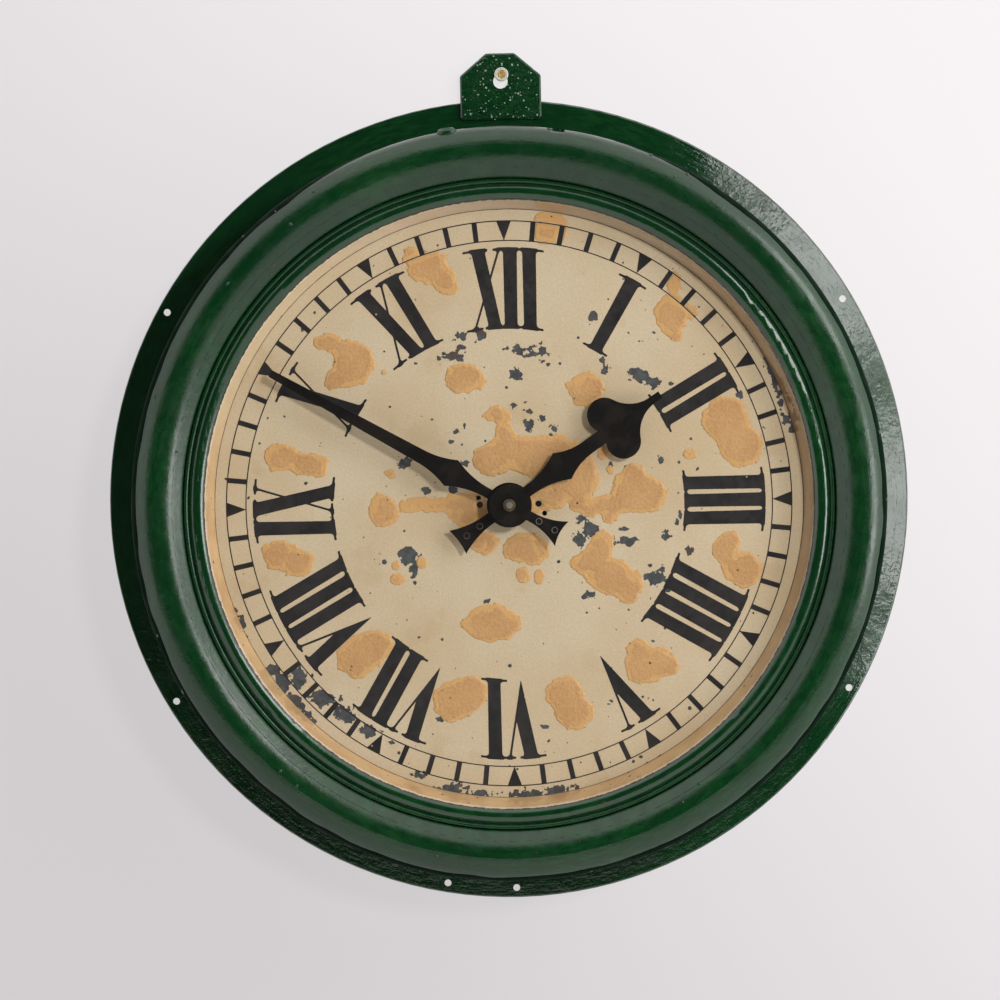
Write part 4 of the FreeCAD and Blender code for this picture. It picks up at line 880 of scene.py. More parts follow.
@dataclass(frozen=True)
class BezelPaint(CasePaint):
    """The case's green on the roll, and buff paint with a rough edge on the sight wall."""

    buff: Colour = paint(207, 172, 124)
    buff_dark: Colour = paint(190, 150, 102)
    # Pale pink of the undercoat, also used for a painted highlight along the sight wall's edge.
    primer_and_edge_highlight: Colour = paint(222, 196, 178)
    # Brown of the painted shade towards the upper right of the sight wall.
    soil_and_shade: Colour = paint(104, 74, 50)
    cream: Colour = paint(212, 193, 158)
    grime: Colour = paint(84, 62, 44)
    edge: float = 178.7
    edge_blur: float = 0.25
    ragged: float = 1.5
    primer_and_highlight_rim: Span = (1.1, 0.5)
    primer_top: Span = (0.11, 0.17)
    cream_way: Span = (-0.3, 0.95)
    cream_span: Span = (0.05, 0.14)
    painted_shade_way: Span = (0.8, 0.6)
    painted_shade_span: Span = (0.02, 0.16)

    def dress(self, sheet: Sheet, shader: Node) -> None:
        """Lays the buff paint over the green inside the edge, with its pink undercoat, grime
        flecks, a painted highlight along the edge and a painted shade towards the upper right.

        Args:
            sheet: The material's sheet.
            shader: The material's shader.
        """
        green = self.green(sheet, shader)
        place = sheet.place()
        part = sheet.parts(place)
        radius = sheet.sum("SQRT", sheet.sum("ADD", sheet.sum("MULTIPLY", part[0], part[0]),
                                             sheet.sum("MULTIPLY", part[2], part[2])))
        uneven = sheet.sum("MULTIPLY", sheet.sum("SUBTRACT", sheet.noise(place, 420.0, 5.0), 0.5),
                           self.ragged * MM)
        reach = sheet.sum("ADD", radius, uneven)
        inside = sheet.between(reach, (self.edge - self.edge_blur) * MM,
                               (self.edge + self.edge_blur) * MM, 1.0, 0.0)
        cloud = Clouding().placed(sheet, scale=45.0, fine=220.0)
        buff = sheet.blend(cloud["broad"], self.buff, self.buff_dark)
        upper = sheet.weighed(part[0], self.cream_way[0], part[2], self.cream_way[1])
        buff = sheet.blend(sheet.between(upper, *self.cream_span, 0.0, 0.9), buff, self.cream)
        grime = Flecks().placed(sheet, scale=190.0, share=0.2)
        buff = sheet.blend(grime["mask"], buff, self.grime)
        # A pale pink line along the edge: undercoat showing through, and a painted highlight where
        # the rough edge catches the light.
        rim = sheet.between(reach, *((self.edge - gap) * MM for gap in self.primer_and_highlight_rim))
        top = sheet.sum("MULTIPLY", sheet.between(part[2], *self.primer_top), cloud["broad"])
        primer_and_highlight_mask = sheet.sum("MULTIPLY", sheet.sum("MAXIMUM", rim, top), 0.8)
        buff = sheet.blend(primer_and_highlight_mask, buff, self.primer_and_edge_highlight)
        # Painted shade: the buff darkens to brown towards the upper right and the top, where the
        # sight wall lies in shade.
        side = sheet.weighed(part[0], self.painted_shade_way[0], part[2], self.painted_shade_way[1])
        buff = sheet.blend(sheet.between(side, *self.painted_shade_span, 0.0, 0.62), buff, self.soil_and_shade)
        sheet.feed(shader.inputs["Base Color"], sheet.blend(inside, green, buff))


@dataclass(frozen=True)
class DialCoat(Finish):
    """Old cream paint with a pebbled surface, stains and specks."""

    cream: Colour = paint(207, 191, 162)
    warm: Colour = paint(198, 177, 143)
    stain: Colour = paint(176, 146, 106)
    speck: Colour = paint(92, 82, 72)

    def dress(self, sheet: Sheet, shader: Node) -> None:
        """Mixes the cream with its stains, grain and specks.

        Args:
            sheet: The material's sheet.
            shader: The material's shader.
        """
        cloud = Clouding().placed(sheet, scale=14.0, fine=850.0)
        colour = sheet.blend(cloud["broad"], self.cream, self.warm)
        patch = Clouding().placed(sheet, scale=31.0, fine=90.0)
        soil_and_shade = sheet.sum("MULTIPLY", sheet.between(patch["broad"], 0.82, 1.0), 0.22)
        colour = sheet.blend(soil_and_shade, colour, self.stain)
        grain = sheet.sum("MULTIPLY", cloud["fine"], 0.26)
        colour = sheet.blend(grain, colour, self.stain)
        specks = Flecks().placed(sheet, scale=210.0, share=0.13)
        colour = sheet.blend(sheet.sum("MULTIPLY", specks["mask"], 0.8), colour, self.speck)
        sheet.feed(shader.inputs["Base Color"], colour)
        sheet.feed(shader.inputs["Roughness"], sheet.between(cloud["fine"], 0.0, 1.0, 0.5, 0.68))
        pebble = BrushMarks().placed(sheet, turns=90.0, across=700.0, swell=620.0)
        self.bump(sheet, shader, pebble["height"], 0.3, 0.5)


@dataclass(frozen=True)
class DialMetal(Finish):
    """Dark undercoat on the dial's metal, with rust where it is bare."""

    slate: Colour = paint(82, 85, 86)
    dark: Colour = paint(62, 64, 65)
    rust: Colour = paint(92, 66, 48)

    def dress(self, sheet: Sheet, shader: Node) -> None:
        """Mixes the undercoat with its rust.

        Args:
            sheet: The material's sheet.
            shader: The material's shader.
        """
        cloud = Clouding().placed(sheet, scale=60.0, fine=300.0)
        colour = sheet.blend(cloud["fine"], self.slate, self.dark)
        rusty = sheet.sum("MULTIPLY", sheet.between(cloud["broad"], 0.72, 1.0), 0.5)
        sheet.feed(shader.inputs["Base Color"], sheet.blend(rusty, colour, self.rust))
        shader.inputs["Roughness"].default_value = 0.7
        self.bump(sheet, shader, cloud["fine"], 0.15, 0.5)


@dataclass(frozen=True)
class Filler(Finish):
    """Buff filler that was spread over bare places and left to set."""

    buff: Colour = paint(197, 152, 102)
    pale: Colour = paint(210, 170, 120)
    deep: Colour = paint(186, 140, 92)
    edge: Colour = paint(210, 163, 102)
    pit: Colour = paint(96, 72, 50)
    step: Span = (0.34, 0.46)
    level: float = 0.0

    def dress(self, sheet: Sheet, shader: Node) -> None:
        """Mixes the filler's middle, its thinner edge and its pits.

        Args:
            sheet: The material's sheet.
            shader: The material's shader.
        """
        cloud = Clouding().placed(sheet, scale=60.0, fine=560.0)
        colour = sheet.blend(cloud["broad"], self.buff, self.deep)
        lift = sheet.sum("MULTIPLY", sheet.parts(sheet.place())[1], -1.0)
        thin = sheet.between(lift, (self.level + self.step[0]) * MM,
                             (self.level + self.step[1]) * MM, 0.75, 0.0)
        colour = sheet.blend(thin, colour, self.edge)
        colour = sheet.blend(sheet.sum("MULTIPLY", cloud["fine"], 0.35), colour, self.pale)
        pits = Flecks().placed(sheet, scale=170.0, share=0.16)
        sheet.feed(shader.inputs["Base Color"], sheet.blend(pits["mask"], colour, self.pit))
        shader.inputs["Roughness"].default_value = 0.42
        self.bump(sheet, shader, cloud["fine"], 0.3, 0.6)


@dataclass(frozen=True)
class BlackPaint(Finish):
    """Black paint of the numerals, rubbed thin in places."""

    black: Colour = paint(31, 30, 30)
    grey: Colour = paint(54, 50, 48)
    under: Colour = paint(186, 166, 132)

    def dress(self, sheet: Sheet, shader: Node) -> None:
        """Mixes the black, its worn grey and the coat that shows through.

        Args:
            sheet: The material's sheet.
            shader: The material's shader.
        """
        cloud = Clouding().placed(sheet, scale=55.0, fine=260.0)
        colour = sheet.blend(sheet.sum("MULTIPLY", cloud["broad"], 0.6), self.black, self.grey)
        rubbed = Flecks().placed(sheet, scale=120.0, share=0.085)
        sheet.feed(shader.inputs["Base Color"], sheet.blend(rubbed["mask"], colour, self.under))
        sheet.feed(shader.inputs["Roughness"], sheet.between(cloud["fine"], 0.0, 1.0, 0.42, 0.6))
        pebble = BrushMarks().placed(sheet, turns=90.0, across=700.0, swell=620.0)
        self.bump(sheet, shader, pebble["height"], 0.2, 0.5)


@dataclass(frozen=True)
class HandEnamel(Finish):
    """Black enamel of the hands, worn on the rivets."""

    black: Colour = paint(18, 16, 15)
    worn: Colour = paint(44, 37, 33)
    dusty: Colour = paint(140, 132, 120)

    def dress(self, sheet: Sheet, shader: Node) -> None:
        """Mixes the enamel, its wear and its dust.

        Args:
            sheet: The material's sheet.
            shader: The material's shader.
        """
        cloud = Clouding().placed(sheet, scale=60.0, fine=700.0)
        worn = sheet.sum("MULTIPLY", sheet.between(cloud["broad"], 0.3, 1.0), 0.4)
        colour = sheet.blend(worn, self.black, self.worn)
        dust = TopDust().placed(sheet, scale=300.0, amount=0.2)
        sheet.feed(shader.inputs["Base Color"], sheet.blend(dust["mask"], colour, self.dusty))
        sheet.feed(shader.inputs["Roughness"], sheet.between(cloud["fine"], 0.0, 1.0, 0.34, 0.42))
        self.bump(sheet, shader, cloud["fine"], 0.02, 0.3)


@dataclass(frozen=True)
class Metal(Finish):
    """Filed or turned metal with its tarnish."""

    bright: Colour = paint(200, 170, 104)
    tarnish: Colour = paint(132, 100, 54)
    gloss: Span = (0.26, 0.5)

    def dress(self, sheet: Sheet, shader: Node) -> None:
        """Mixes the bright metal with its tarnish and draws its lines.

        Args:
            sheet: The material's sheet.
            shader: The material's shader.
        """
        cloud = Clouding().placed(sheet, scale=40.0, fine=320.0)
        lines = FineLines().placed(sheet)
        old = sheet.sum("MULTIPLY", sheet.between(cloud["broad"], 0.35, 1.0), 0.75)
        colour = sheet.blend(old, self.bright, self.tarnish)
        spots = Flecks().placed(sheet, scale=260.0, share=0.14)
        sheet.feed(shader.inputs["Base Color"],
                   sheet.blend(sheet.sum("MULTIPLY", spots["mask"], 0.6), colour, self.tarnish))
        shader.inputs["Metallic"].default_value = 1.0
        sheet.feed(shader.inputs["Roughness"],
                   sheet.between(lines["line"], 0.25, 0.8, *self.gloss))
        self.bump(sheet, shader, lines["line"], 0.02, 0.5)


@dataclass(frozen=True)
class Moulding(Finish):
    """Moulded resin or sleeving with a faint swirl."""

    body: Colour = paint(52, 32, 24)
    swirl: Colour = paint(78, 48, 34)
    gloss: float = 0.35
    dusty: Colour = paint(150, 142, 130)

    def dress(self, sheet: Sheet, shader: Node) -> None:
        """Mixes the swirl and its dust.

        Args:
            sheet: The material's sheet.
            shader: The material's shader.
        """
        cloud = Clouding().placed(sheet, scale=70.0, fine=420.0)
        dust = TopDust().placed(sheet, scale=160.0, amount=0.3)
        colour = sheet.blend(cloud["broad"], self.body, self.swirl)
        sheet.feed(shader.inputs["Base Color"], sheet.blend(dust["mask"], colour, self.dusty))
        shader.inputs["Roughness"].default_value = self.gloss
        self.bump(sheet, shader, cloud["fine"], 0.05, 0.5)


@dataclass(frozen=True)
class Plaster(Finish):
    """A plain pale wall or floor, seen through from behind, whose glowing tone runs from a painted
    shade at the lower left to a painted light at the upper right where its two tones differ.
    """

    tone: Colour = paint(232, 230, 232)
    painted_light_tone: Colour = paint(232, 230, 232)
    shade: float = 0.96
    even: float = 0.8
    span: Span = (-0.6, 0.6)

    def dress(self, sheet: Sheet, shader: Node) -> None:
        """Makes a glowing tone for the camera and for reflections, with a painted light towards
        the upper right and a painted shade towards the lower left, and leaves the back clear.

        Args:
            sheet: The material's sheet.
            shader: The material's shader.
        """
        cloud = Clouding().placed(sheet, scale=2.0, fine=160.0)
        shade = tuple(part * self.shade for part in self.tone[:3]) + (1.0,)
        sheet.feed(shader.inputs["Base Color"], sheet.blend(cloud["broad"], self.tone, shade))
        shader.inputs["Roughness"].default_value = 0.8
        self.bump(sheet, shader, cloud["fine"], 0.05, 0.3)
        part = sheet.parts(sheet.place())
        # Painted light: the glow's tone rises towards the upper right and falls towards the lower
        # left.
        painted_light_side = sheet.sum("ADD", part[0], part[2])
        colour = sheet.blend(sheet.between(painted_light_side, *self.span), self.tone, self.painted_light_tone)
        glow = sheet.add("ShaderNodeEmission", {"Color": colour, "Strength": 1.0})
        seen = sheet.add("ShaderNodeLightPath")
        direct = sheet.sum("MAXIMUM", seen.outputs["Is Camera Ray"], seen.outputs["Is Glossy Ray"])
        even = sheet.add("ShaderNodeMixShader", {0: sheet.sum("MULTIPLY", direct, self.even),
                                                 1: shader.outputs[0], 2: glow.outputs[0]})
        clear = sheet.add("ShaderNodeBsdfTransparent")
        behind = sheet.add("ShaderNodeNewGeometry").outputs["Backfacing"]
        mixed = sheet.add("ShaderNodeMixShader", {0: behind, 1: even.outputs[0],
                                                  2: clear.outputs[0]})
        leave = next(n for n in sheet.tree.nodes if n.type == "OUTPUT_MATERIAL")
        sheet.feed(leave.inputs["Surface"], mixed.outputs[0])


# Finishes that more than one kind of piece has

CASE_PAINT = CasePaint("green_case_paint")
# The bracket's pale flecks, given in the rust colour's place, are white paint spatter and painted
# glints.
BRACKET_PAINT = CasePaint("green_bracket_paint", relief=0.35, grit=0.16, swell=260.0,
                          rust=paint(150, 168, 150), fleck=(620.0, 0.42), gloss=(0.15, 0.3),
                          coat=0.5)


# Pieces of the clock


def new_mesh(name: str, vertices: Sequence[Any], faces: Sequence[Sequence[int]],
             checked: bool = False) -> Mesh:
    """A mesh from its points and faces.

    Args:
        name: Name of the mesh.
        vertices: Its points in metres.
        faces: The numbers of each face's points.
        checked: Whether faulty faces are taken out.

    Returns:
        The mesh.
    """
    mesh = bpy.data.meshes.new(name)
    mesh.from_pydata(vertices, [], faces)
    if checked:
        mesh.validate()
    mesh.update()
    return mesh


def add_stage(name: str, mesh: Mesh, finish: Finish) -> bpy.types.Object:
    """Puts a mesh into the scene as a part of the stage.

    Args:
        name: Name of the piece.
        mesh: Its mesh.
        finish: Its finish.

    Returns:
        The piece.
    """
    mesh.materials.append(finish.material())
    piece = bpy.data.objects.new(name, mesh)
    bpy.context.scene.collection.objects.link(piece)
    return piece


def add_piece(name: str, mesh: Mesh, finish: Finish, body: str,
              smooth: bool = False) -> bpy.types.Object:
    """Puts a mesh into the scene as a piece that rides on a body.

    Args:
        name: Name of the piece.
        mesh: Its mesh, in the shared frame.
        finish: Its finish.
        body: The body that it moves with.
        smooth: Whether its faces are shaded as one curved surface.

    Returns:
        The piece.
    """
    piece = bpy.data.objects.new(name, mesh)
    bpy.context.scene.collection.objects.link(piece)
    mesh.materials.append(finish.material())
    if smooth:
        mesh.polygons.foreach_set("use_smooth", [True] * len(mesh.polygons))
    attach(piece, body)
    LOG.info("%s: %d faces on %s", name, len(mesh.polygons), body)
    return piece


def turned_mesh(name: str, outline: Section | Callable[[float], Section], steps: int,
                wave: Callable[[float, int], float] | None = None,
                axis: Span = (0.0, 0.0), gap: float = 0.0) -> Mesh:
    """A ring turned about an axis that stands on the wall, whole or with a gap at its top.

    Args:
        name: Name of the mesh.
        outline: Radius and height above the wall of the section's points, in millimetres,
            or what gives them from the angle.
        steps: Number of steps round the ring.
        wave: Gives an added radius from the angle and the point's number.
        axis: Where the axis stands, to the right and up, in millimetres.
        gap: Half the gap, as an angle.

    Returns:
        The mesh.
    """
    vertices: list[Triple] = []
    faces: list[tuple[int, ...]] = []
    for step in range(steps):
        angle = gap + (FULL_TURN - 2.0 * gap) * step / (steps - 1 if gap else steps)
        section = outline(angle) if callable(outline) else outline
        count = len(section)
        for number, (radius, height) in enumerate(section):
            reach = radius + (wave(angle, number) if wave else 0.0)
            vertices.append(((axis[0] + reach * math.sin(angle)) * MM, -height * MM,
                             (axis[1] + reach * math.cos(angle)) * MM))
        if gap and step == steps - 1:
            break
        for number in range(count):
            other = (number + 1) % count
            a, b = step * count, ((step + 1) % steps) * count
            faces.append((a + number, b + number, b + other, a + other))
    if gap:
        faces.append(tuple(range(count)))
        faces.append(tuple(reversed(range(len(vertices) - count, len(vertices)))))
    return new_mesh(name, vertices, faces)


@dataclass
class HourNumeral:
    """One hour's numeral, in its own upright place: u to its right, v outwards."""

    hour: int
    letters: tuple[tuple[Glyph, float], ...]
    inner: float = 104.0
    outer: float = 151.0
    line: float = 1.3
    fillet: float = 2.2
    stroke: Span = (8.1, 7.5)
    overhang: Span = (4.6, 3.6)
    hair: float = 1.25
    widths: Triple = (8.1, 17.6, 17.9)
    apex: float = 9.8
    apex_cut: float = 8.2
    cross_hair: Span = (16.4, 1.8)
    apex_ease: float = 0.1
    five_serifs: Span = (2.8, 3.0)
    ten_serifs: tuple[Span, Span] = ((2.0, 3.2), (2.2, 4.0))
    margin: float = 6.0
    rims: Span = (8.0, 4.0)
    far: float = -4.0

    def reaches(self) -> Span:
        """The numeral's left and right ends, serifs included.

        Returns:
            The two ends, from its middle.
        """
        widths = dict(zip(Glyph, self.widths))
        left = min(start for _, start in self.letters) - self.margin
        right = max(start + widths[glyph] for glyph, start in self.letters) + self.margin
        return left, right

    def line_field(self, u: Array, v: Array, top: float, bottom: float) -> Array:
        """How far points lie to the right of a straight edge.

        Args:
            u: Places to the numeral's right.
            v: Places outwards.
            top: Place of the edge at the outer end.
            bottom: Place of the edge at the inner end.

        Returns:
            Distances, positive to the right.
        """
        share = (v - self.inner) / (self.outer - self.inner)
        slope = (top - bottom) / (self.outer - self.inner)
        return (u - (bottom + (top - bottom) * share)) / math.sqrt(1.0 + slope * slope)

    def bar(self, u: Array, v: Array, top: Span, bottom: Span) -> Array:
        """A straight stroke between the two rims of the numeral.

        Args:
            u: Places to the numeral's right.
            v: Places outwards.
            top: Left and right edge at the outer end.
            bottom: Left and right edge at the inner end.

        Returns:
            The stroke's field.
        """
        radius = np.hypot(u, v)
        sides = np.minimum(self.line_field(u, v, top[0], bottom[0]),
                           -self.line_field(u, v, top[1], bottom[1]))
        return np.minimum(sides, np.minimum(radius - self.inner, self.outer - radius))

    def serif(self, u: Array, v: Array, left: float, right: float, high: bool) -> Array:
        """A thin foot line along the outer or inner rim.

        Args:
            u: Places to the numeral's right.
            v: Places outwards.
            left: Left end.
            right: Right end.
            high: Whether it lies along the outer rim.

        Returns:
            The line's field.
        """
        radius = np.hypot(u, v)
        middle = self.outer - self.line / 2.0 if high else self.inner + self.line / 2.0
        ends = np.minimum(u - left, right - u)
        return np.minimum(self.line / 2.0 - np.abs(radius - middle), ends)

    def letter(self, glyph: Glyph, start: float, u: Array, v: Array) -> tuple[Array, Array]:
        """The strokes and the foot lines of one letter.

        Args:
            glyph: The letter.
            start: Its left edge at the outer end.
            u: Places to the numeral's right.
            v: Places outwards.

        Returns:
            Two fields.
        """
        wide, narrow = self.stroke
        over, under = self.overhang
        if glyph is Glyph.ONE:
            taper = (wide - narrow) / 2.0
            strokes = self.bar(u, v, (start, start + wide),
                               (start + taper, start + taper + narrow))
            feet = np.maximum(self.serif(u, v, start - over, start + wide + over, True),
                              self.serif(u, v, start - under, start + wide + under, False))
        elif glyph is Glyph.FIVE:
            apex, right = start + self.apex, start + self.widths[1]
            whole = self.bar(u, v, (start, right), (apex, apex))
            edge = start + wide - self.apex_ease
            cut = np.minimum(self.line_field(u, v, edge, apex + self.apex_cut),
                             -self.line_field(u, v, right - self.hair, apex - self.hair))
            strokes = np.minimum(whole, -cut)
            thick_top, thin_top = self.five_serifs
            feet = np.maximum(self.serif(u, v, start - over, start + wide + thick_top, True),
                              self.serif(u, v, right - self.hair - thin_top, right + over,
                                         True))
        else:
            low = start + self.widths[2] - narrow
            thick = self.bar(u, v, (start, start + wide), (low, low + narrow))
            high_hair, low_hair = (start + place for place in self.cross_hair)
            thin = self.bar(u, v, (high_hair, high_hair + self.hair),
                            (low_hair, low_hair + self.hair))
            strokes = np.maximum(thick, thin)
            (thick_top, thin_top), (thick_foot, thin_foot) = self.ten_serifs
            lines = (self.serif(u, v, start - over, start + wide + thick_top, True),
                     self.serif(u, v, high_hair - thin_top, high_hair + self.hair + over, True),
                     self.serif(u, v, low - thick_foot, low + narrow + over, False),
                     self.serif(u, v, low_hair - over, low_hair + self.hair + thin_foot, False))
            feet = np.maximum.reduce(lines)
        return strokes, feet

    def cover(self, x: Array, z: Array) -> Array:
        """The numeral's field over the dial.

        Args:
            x: Places to the right.
            z: Places upwards.

        Returns:
            The field, positive inside the paint.
        """
        angle = math.radians(self.hour * 30.0)
        u = x * math.cos(angle) - z * math.sin(angle)
        v = x * math.sin(angle) + z * math.cos(angle)
        left, right = self.reaches()
        low, high = self.inner - self.rims[0], self.outer + self.rims[1]
        near = (v > low) & (v < high) & (u > left) & (u < right)
        result = np.full(x.shape, self.far)
        parts = [self.letter(glyph, start, u[near], v[near]) for glyph, start in self.letters]
        strokes = np.maximum.reduce([part[0] for part in parts])
        feet = np.maximum.reduce([part[1] for part in parts])
        result[near] = soft_union(strokes, feet, self.fillet)
        return result


@dataclass
class FillerForm:
    """The filler's thickness: a thin rim, a wavering ridge inside it, and a flat middle."""

    top: float
    foot: float = 0.06
    rim: Span = (0.22, 0.4)
    rim_width: float = 2.8
    waver: Span = (1.3, 8.0)
    ridge: Span = (0.2, 0.6)
    middle: Span = (0.2, 0.9)
    lumps: tuple[Span, Span] = ((0.05, 5.5), (0.03, 2.3))
    noise: SurfaceNoise = field(default_factory=lambda: SurfaceNoise(23))

    def front(self, x: Array, z: Array, depth: Array) -> Array:
        """Height of the filler's front.

        Args:
            x: Places to the right.
            z: Places upwards.
            depth: How far the places lie inside the patch.

        Returns:
            Heights above the wall, in millimetres.
        """
        rise = self.rim[0] * (1.0 - np.exp(-depth / self.rim[1]))
        inner = depth + self.waver[0] * self.noise.at(x, z, self.waver[1]) - self.rim_width
        ridge = self.ridge[0] * np.exp(-(inner / self.ridge[1]) ** 2)
        middle = self.middle[0] * np.clip(inner / self.middle[1] + 0.5, 0.0, 1.0)
        (large, swell), (small, ripple) = self.lumps
        lumps = large * self.noise.at(x, z, swell) + small * self.noise.at(z, x, ripple)
        return self.top + self.foot + rise + ridge + middle + np.minimum(depth, 1.0) * lumps


@dataclass
class DialFace:
    """The dial's cream coat with its chips, the black markings and the filler patches."""

    front: float = 62.0
    coat: float = 0.2
    ink: float = 0.07
    edge: float = 173.7
    hub_hole: float = 9.2
    screw_offset: float = 17.4
    screw_hole: float = 1.9
    old_hole: float = 1.5
    old_holes: Section = ((-18.1, 4.0), (20.8, -5.7))
    rings: Span = (155.5, 167.0)
    ring_line: float = 0.65
    minute_bar: float = 3.0
    five_base: float = 8.6
    grid_step: float = 0.3
    specks: int = 110
    speck_start: float = 0.02
    speck_sizes: Span = (0.5, 1.9)
    chip_grain: Section = ((3.1, 1.5), (1.5, 1.3), (0.9, 0.7))
    chip_ease: float = 0.25
    chip_ragged_from: float = 5.0
    chip_far: float = -3.0
    patch_grain: Section = ((7.0, 1.4), (2.9, 0.9), (1.3, 0.5))
    patch_ragged_from: float = 14.0
    patch_far: float = -6.0
    patch_fillet: float = 4.0
    patch_gaps: Span = (0.4, 0.25)
    patch_spacing: float = 0.85
    patch_slack: float = 0.05
    chip_seed: int = 41
    speck_seed: int = 77
    patch_seed: int = 9
    numerals: tuple[HourNumeral, ...] = (
        HourNumeral(1, ((Glyph.ONE, -4.1),), stroke=(8.9, 7.6)),
        HourNumeral(2, ((Glyph.ONE, -9.3), (Glyph.ONE, 1.2))),
        HourNumeral(3, ((Glyph.ONE, -14.4), (Glyph.ONE, -4.05), (Glyph.ONE, 6.3))),
        HourNumeral(4, ((Glyph.ONE, -19.7), (Glyph.ONE, -9.25), (Glyph.ONE, 1.15),
                        (Glyph.ONE, 11.6))),
        HourNumeral(5, ((Glyph.FIVE, -9.3),)),
        HourNumeral(6, ((Glyph.FIVE, -14.5), (Glyph.ONE, 7.0))),
        HourNumeral(7, ((Glyph.FIVE, -20.7), (Glyph.ONE, 0.9), (Glyph.ONE, 11.3))),
        HourNumeral(8, ((Glyph.FIVE, -24.9), (Glyph.ONE, -4.1), (Glyph.ONE, 6.3),
                        (Glyph.ONE, 16.8))),
        HourNumeral(9, ((Glyph.ONE, -15.6), (Glyph.TEN, -4.4))),
        HourNumeral(10, ((Glyph.TEN, -9.0),)),
        HourNumeral(11, ((Glyph.TEN, -14.4), (Glyph.ONE, 5.2))),
        HourNumeral(12, ((Glyph.TEN, -20.0), (Glyph.ONE, -0.7), (Glyph.ONE, 10.6))),
    )
    patches: tuple[tuple[tuple[float, ...], ...], ...] = (
        ((-24.8, 74.6, 25.8, 17.4),), ((46.4, 66.9, 22, 19.7),), ((-4.6, 52.8, 15.9, 9.9),),
        ((-2.4, 42.9, 8.3, 13.3), (-10.3, 26.9, 24.6, 20.8), (4, 32.3, 30.3, 17),
         (17.2, 27.3, 32.2, 24.6), (30.6, 34.6, 17, 11.4)),
        ((37.7, 11.7, 30.3, 22.7), (45.5, 19.1, 15.2, 17), (24.3, 3.5, 28.4, 13.3),
         (17.6, -1.1, 11.4, 9.5)),
        ((76.4, 4.3, 33.2, 22.7), (72.8, 14.8, 15.2, 13.3), (54.5, -1.9, 36, 10.6),
         (58.1, -9.2, 8.3, 7.6), (41.3, 1.2, 17, 10.6)),
        ((-54.4, 0.7, 18.9, 8), (-40.2, -0.3, 26.5, 8.7), (-25, 1.6, 22.7, 12.5),
         (-24.2, -6.9, 18.9, 11.7)), ((-15.1, -22.3, 15.9, 13.6),), ((10.4, -26.6, 28.4, 18.9),),
        ((7.4, -42, 8.7, 10.2),), ((16.9, -43.4, 6.4, 8.3),),
        ((54, -26.5, 15.9, 20.8), (46.2, -36.2, 22.7, 15.2), (59.3, -44.6, 28.4, 22.7, 20),
         (69.6, -51.5, 17, 18.9, 20)), ((-11.3, -70.3, 34.5, 21.2),),
        ((-74.7, -2.1, 17.4, 21.2),), ((-69.6, 19.6, 7.2, 6.1),), ((-66.7, -43, 9.9, 7.2, -20),),
        ((-67.4, -35, 6.1, 5.3),), ((-52.3, -33.8, 6.8, 7.2),), ((107.6, 27.3, 7.6, 5.7),),
        ((60, 19.2, 4.5, 5.3),), ((56.1, 29.3, 6.8, 8.3),), ((-72.3, 79.3, 3.8, 3.4),),
        ((-103.6, 96.6, 17, 10.8, 15), (-90.3, 85.4, 24.2, 27), (-99.8, 75.6, 15.6, 11.9)),
        ((-45.9, 140.6, 27, 19.9, 15), (-34.7, 131.9, 14.2, 17, 20),
         (-54.9, 147.9, 9.9, 9.9), (-39.4, 145.5, 12.8, 8.5)),
        ((-134.2, 29.7, 21.3, 15.4), (-117.1, 25.8, 22.5, 14.2, 10)),
        ((-136, -27.7, 21.3, 15.4), (-126, -32.7, 21.3, 15.4)),
        ((29.5, -112.3, 21.5, 19.9), (35.1, -123.2, 23.2, 21.5)),
        ((74.7, -90, 16.6, 18.2), (86.2, -96.4, 23.2, 18.2), (77, -100.9, 18.2, 11.6)),
        ((128.1, -28.4, 16.6, 20.1, 25), (136.7, -41.6, 22.5, 21.3, 25)),
        ((98.5, 111.6, 19.9, 25.6, -10), (99.5, 127.9, 8.5, 14.2, 20), (109.2, 111.4, 8.5, 8.5),
         (101.1, 97.4, 7.1, 8.5)),
        ((128.4, 47.1, 28.4, 27), (136.7, 32, 24.2, 27, -15), (128.6, 54.2, 19.9, 12.8),
         (144.5, 33.9, 9.4, 9.9)),
        ((-91, -87.7, 26.5, 24.6), (-81.5, -83.2, 20.8, 20.8), (-91.2, -95.3, 18.9, 11.4)),
        ((-31.9, -113.6, 28.4, 24.6), (-23.3, -111.8, 17, 18.9), (-36.8, -121, 17, 13.3)),
        ((27.2, 162.6, 21.3, 20.1, 10),),
    )
